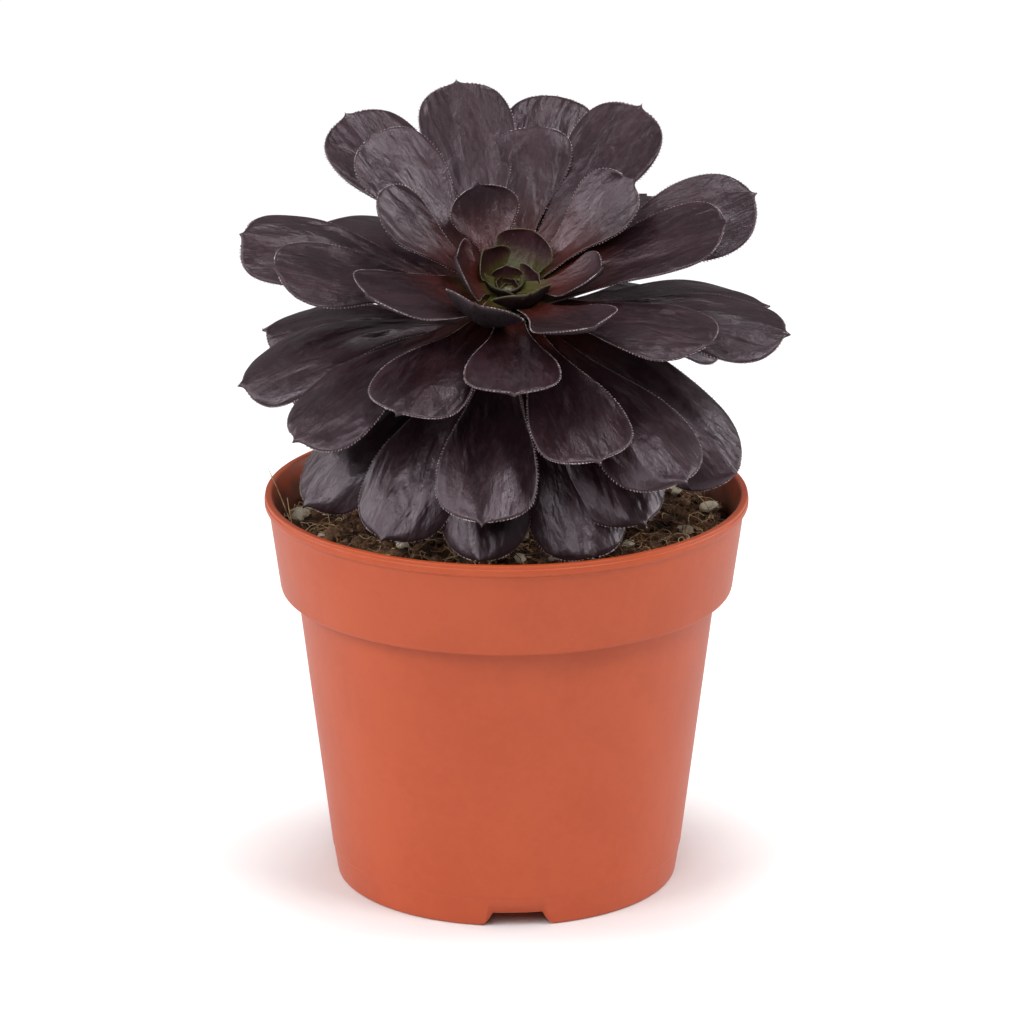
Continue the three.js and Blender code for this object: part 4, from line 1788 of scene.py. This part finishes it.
@dataclass
class Stem:
    """The woody stem with the scars of fallen leaves, from the soil to the crown."""

    spiral: Spiral
    radius: float = 5.1
    top_radius: float = 6.2
    foot: Vector = field(default_factory=lambda: Vector((0, 13, 66.2)))
    bend: Vector = field(default_factory=lambda: Vector((0, 13.6, 117.5)))
    sides: int = 48
    rows: int = 130
    length: float = 60.0
    scar_count: int = 46
    scar_size: Place = (3.4, 0.95, 2.2)
    scar_depth: float = 0.22
    scar_ridge: float = 0.32
    crack_depth: float = 0.28
    sunk: float = 0.2

    def centre(self, share: float) -> tuple[Vector, Vector]:
        """Finds the middle of the stem.

        Args:
            share: The share of its way up.

        Returns:
            The middle there, about the pot's axis, and the stem's direction.
        """
        top = (self.spiral.world(0, 0, -self.spiral.crown_depth) - self.spiral.pot.axis) / MM
        low, mid = self.foot.lerp(self.bend, share), self.bend.lerp(top, share)
        return low.lerp(mid, share), (mid - low).normalized()

    def relief(self, angle: float, share: float) -> float:
        """Finds how far the bark stands off the stem's radius: leaf scars and cracks.

        Args:
            angle: The way round the stem, in radians.
            share: The share of its way up.

        Returns:
            The distance.
        """
        wide, high, reach = self.scar_size
        off = 0.0
        for index in range(self.scar_count):
            height = lerp(0.3, 1.0, (index + 0.5) / self.scar_count)
            up = (share - height) * self.length
            if abs(up) > reach:
                continue
            turn = index * math.radians(GOLDEN_ANGLE)
            round_way = (angle - turn + math.pi) % TURN - math.pi
            spread = math.hypot(round_way * self.radius / wide, up / high)
            ridge = self.scar_ridge * math.exp(-((spread - 1) ** 2) * 9)
            off += ridge - self.scar_depth * math.exp(-((spread / 0.7) ** 2))
        cracks = noise(Vector((math.cos(angle) * 2.6, math.sin(angle) * 2.6, share * 22)))
        return off + self.crack_depth * cracks

    def build(self) -> None:
        """Makes the stem."""
        bm = bmesh.new()
        bmesh.ops.create_grid(bm, x_segments=self.sides, y_segments=self.rows, size=1.0)
        for vert in bm.verts:
            angle = (vert.co.x + 1) * math.pi
            share = (vert.co.y + 1) / 2
            centre, along = self.centre(share)
            side = Vector((1, 0, 0))
            front = along.cross(side).normalized()
            radius = lerp(self.radius, self.top_radius, share**2)
            radius = radius + self.relief(angle, share) - self.sunk
            place = centre + side * radius * math.cos(angle) + front * radius * math.sin(angle)
            vert.co = self.spiral.pot.axis + place * MM
        bmesh.ops.remove_doubles(bm, verts=bm.verts[:], dist=WELD)
        rim = [edge for edge in bm.edges if edge.is_boundary]
        bmesh.ops.holes_fill(bm, edges=rim, sides=0)
        bmesh.ops.recalc_face_normals(bm, faces=bm.faces[:])
        finish_piece(bm, "woody_stem", BARK.material(), ("stem",))


# ---------------------------------------------------------------------------
# Studio


@dataclass(frozen=True)
class Lamp:
    """A square soft light: its place and side in metres, and its power in watts."""

    name: str
    place: Place
    size: float
    power: float


LAMPS: tuple[Lamp, ...] = (
    Lamp("left_side", (-1.35, 0.25, 0.65), 0.9, 8.5),
    Lamp("right_side", (1.40, 0.30, 0.50), 0.7, 8.5),
    Lamp("left_key", (-0.95, -0.8, 1.0), 0.6, 8.0),
    Lamp("right_key", (0.70, -0.60, 1.35), 0.5, 8.5),
    Lamp("front_key", (-0.21, -1.2, 1.03), 0.7, 5.5),
    Lamp("top", (0.0, 0.35, 1.60), 0.45, 4.0),
)


@dataclass
class Studio:
    """The pale floor, the soft lights and the camera."""

    pot: Pot
    distance: float = 1500.0
    elevation: float = math.radians(17.86)
    focal_pixels: float = 6042.0
    aim: Place = (1.36, 0.0, 93.57)
    lamp_aim: Place = (0.0, 0.0, 0.12)
    floor_reach: float = 6.0

    def camera(self) -> None:
        """Makes the camera at the photograph's place."""
        data = bpy.data.cameras.new("photo_camera")
        data.lens = self.focal_pixels / PHOTO_WIDTH * data.sensor_width
        data.clip_end = 50
        camera = linked("photo_camera", data)
        back = Vector((0, -math.cos(self.elevation), math.sin(self.elevation)))
        camera.location = self.pot.axis + (Vector(self.aim) + back * self.distance) * MM
        camera.rotation_euler = (-back).to_track_quat("-Z", "Y").to_euler()
        bpy.context.scene.camera = camera

    def light(self, lamp: Lamp) -> None:
        """Hangs a light that faces the plant.

        Args:
            lamp: Which light.
        """
        data = bpy.data.lights.new(lamp.name, "AREA")
        data.shape = "SQUARE"
        data.size = lamp.size
        data.energy = lamp.power
        light = linked(lamp.name, data)
        light.location = lamp.place
        aim = Vector(self.lamp_aim) - Vector(lamp.place)
        light.rotation_euler = aim.to_track_quat("-Z", "Y").to_euler()

    def floor(self) -> None:
        """Lays the pale floor; seen from the camera, its glow fades out under and close round the
        pot as a painted contact shadow.
        """
        bm = bmesh.new()
        bmesh.ops.create_grid(bm, x_segments=2, y_segments=2, size=self.floor_reach)
        mesh = mesh_from(bm, "studio_floor")
        dress = Dress("pale_floor", Roughness=0.7, Specular_IOR_Level=0.1, Emission_Strength=1.0)
        tree = dress.tree
        tone = dress.mottle(dress.object_place, 3.0, (0.88, 0.88, 0.88), (0.90, 0.90, 0.90))
        away = {0: dress.object_place, 1: self.pot.axis}
        apart = tree.add("VectorMath", away, operation="DISTANCE").outputs["Value"]
        # clear is 0 under the pot and 1 past 85 mm out; it takes the glow away near the foot as a
        # painted contact shadow
        far, clear = tree.between(apart, 0.2, 0.9), tree.between(apart, 0.038, 0.085)
        dress.feed("Base Color", tree.mix(far, tone.outputs["Colour"], BLACK))
        glow = tree.mix(clear, BLACK, tree.mix(far, (0.35, 0.35, 0.35), WHITE))
        seen = tree.add("LightPath").outputs["Is Camera Ray"]
        haze = tree.mix(far, BLACK, (0.2, 0.2, 0.2))
        dress.feed("Emission Color", tree.mix(seen, haze, glow))
        mesh.materials.append(dress.material)
        linked("studio_floor", mesh)

    def build(self) -> None:
        """Makes the studio."""
        self.camera()
        self.floor()
        for lamp in LAMPS:
            self.light(lamp)
        bpy.context.scene.world = self.surroundings()
        bpy.context.scene.view_settings.view_transform = "Standard"

    def surroundings(self) -> bpy.types.World:
        """Makes a studio that is white behind the plant and dim in front of it.

        Returns:
            The world.
        """
        world = bpy.data.worlds.new("studio")
        world.use_nodes = True
        tree = Tree(world.node_tree)
        background = world.node_tree.nodes["Background"]
        split = tree.add("SeparateXYZ", {"Vector": tree.add("TexCoord").outputs["Generated"]})
        behind = tree.between(split.outputs[1], -0.4, 0.5)
        high = tree.between(split.outputs[2], 0.0, 0.6)
        front = tree.mix(high, (0.15, 0.140, 0.145), (0.22, 0.207, 0.215))
        shade = tree.mix(behind, front, (0.26, 0.245, 0.253))
        seen = tree.add("LightPath").outputs["Is Camera Ray"]
        tree.set(background.inputs["Color"], tree.mix(seen, shade, WHITE))
        return world


# ---------------------------------------------------------------------------


def corners(box: tuple[Vector, Vector]) -> list[list[float]]:
    """Returns a box's two corners as plain lists."""
    return [list(corner) for corner in box]


def main() -> None:
    """Builds the plant, its pot and the studio."""
    logging.basicConfig(level=logging.INFO, format="%(message)s")
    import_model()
    low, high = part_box("pot")
    middle = (low + high) / 2
    pot = Pot(axis=Vector((middle.x, middle.y, 0)))
    spiral = Spiral(pot)
    Studio(pot).build()
    pot.build()
    Soil(pot).build()
    Stem(spiral).build()
    Rosette(spiral).build()


if __name__ == "__main__":
    main()
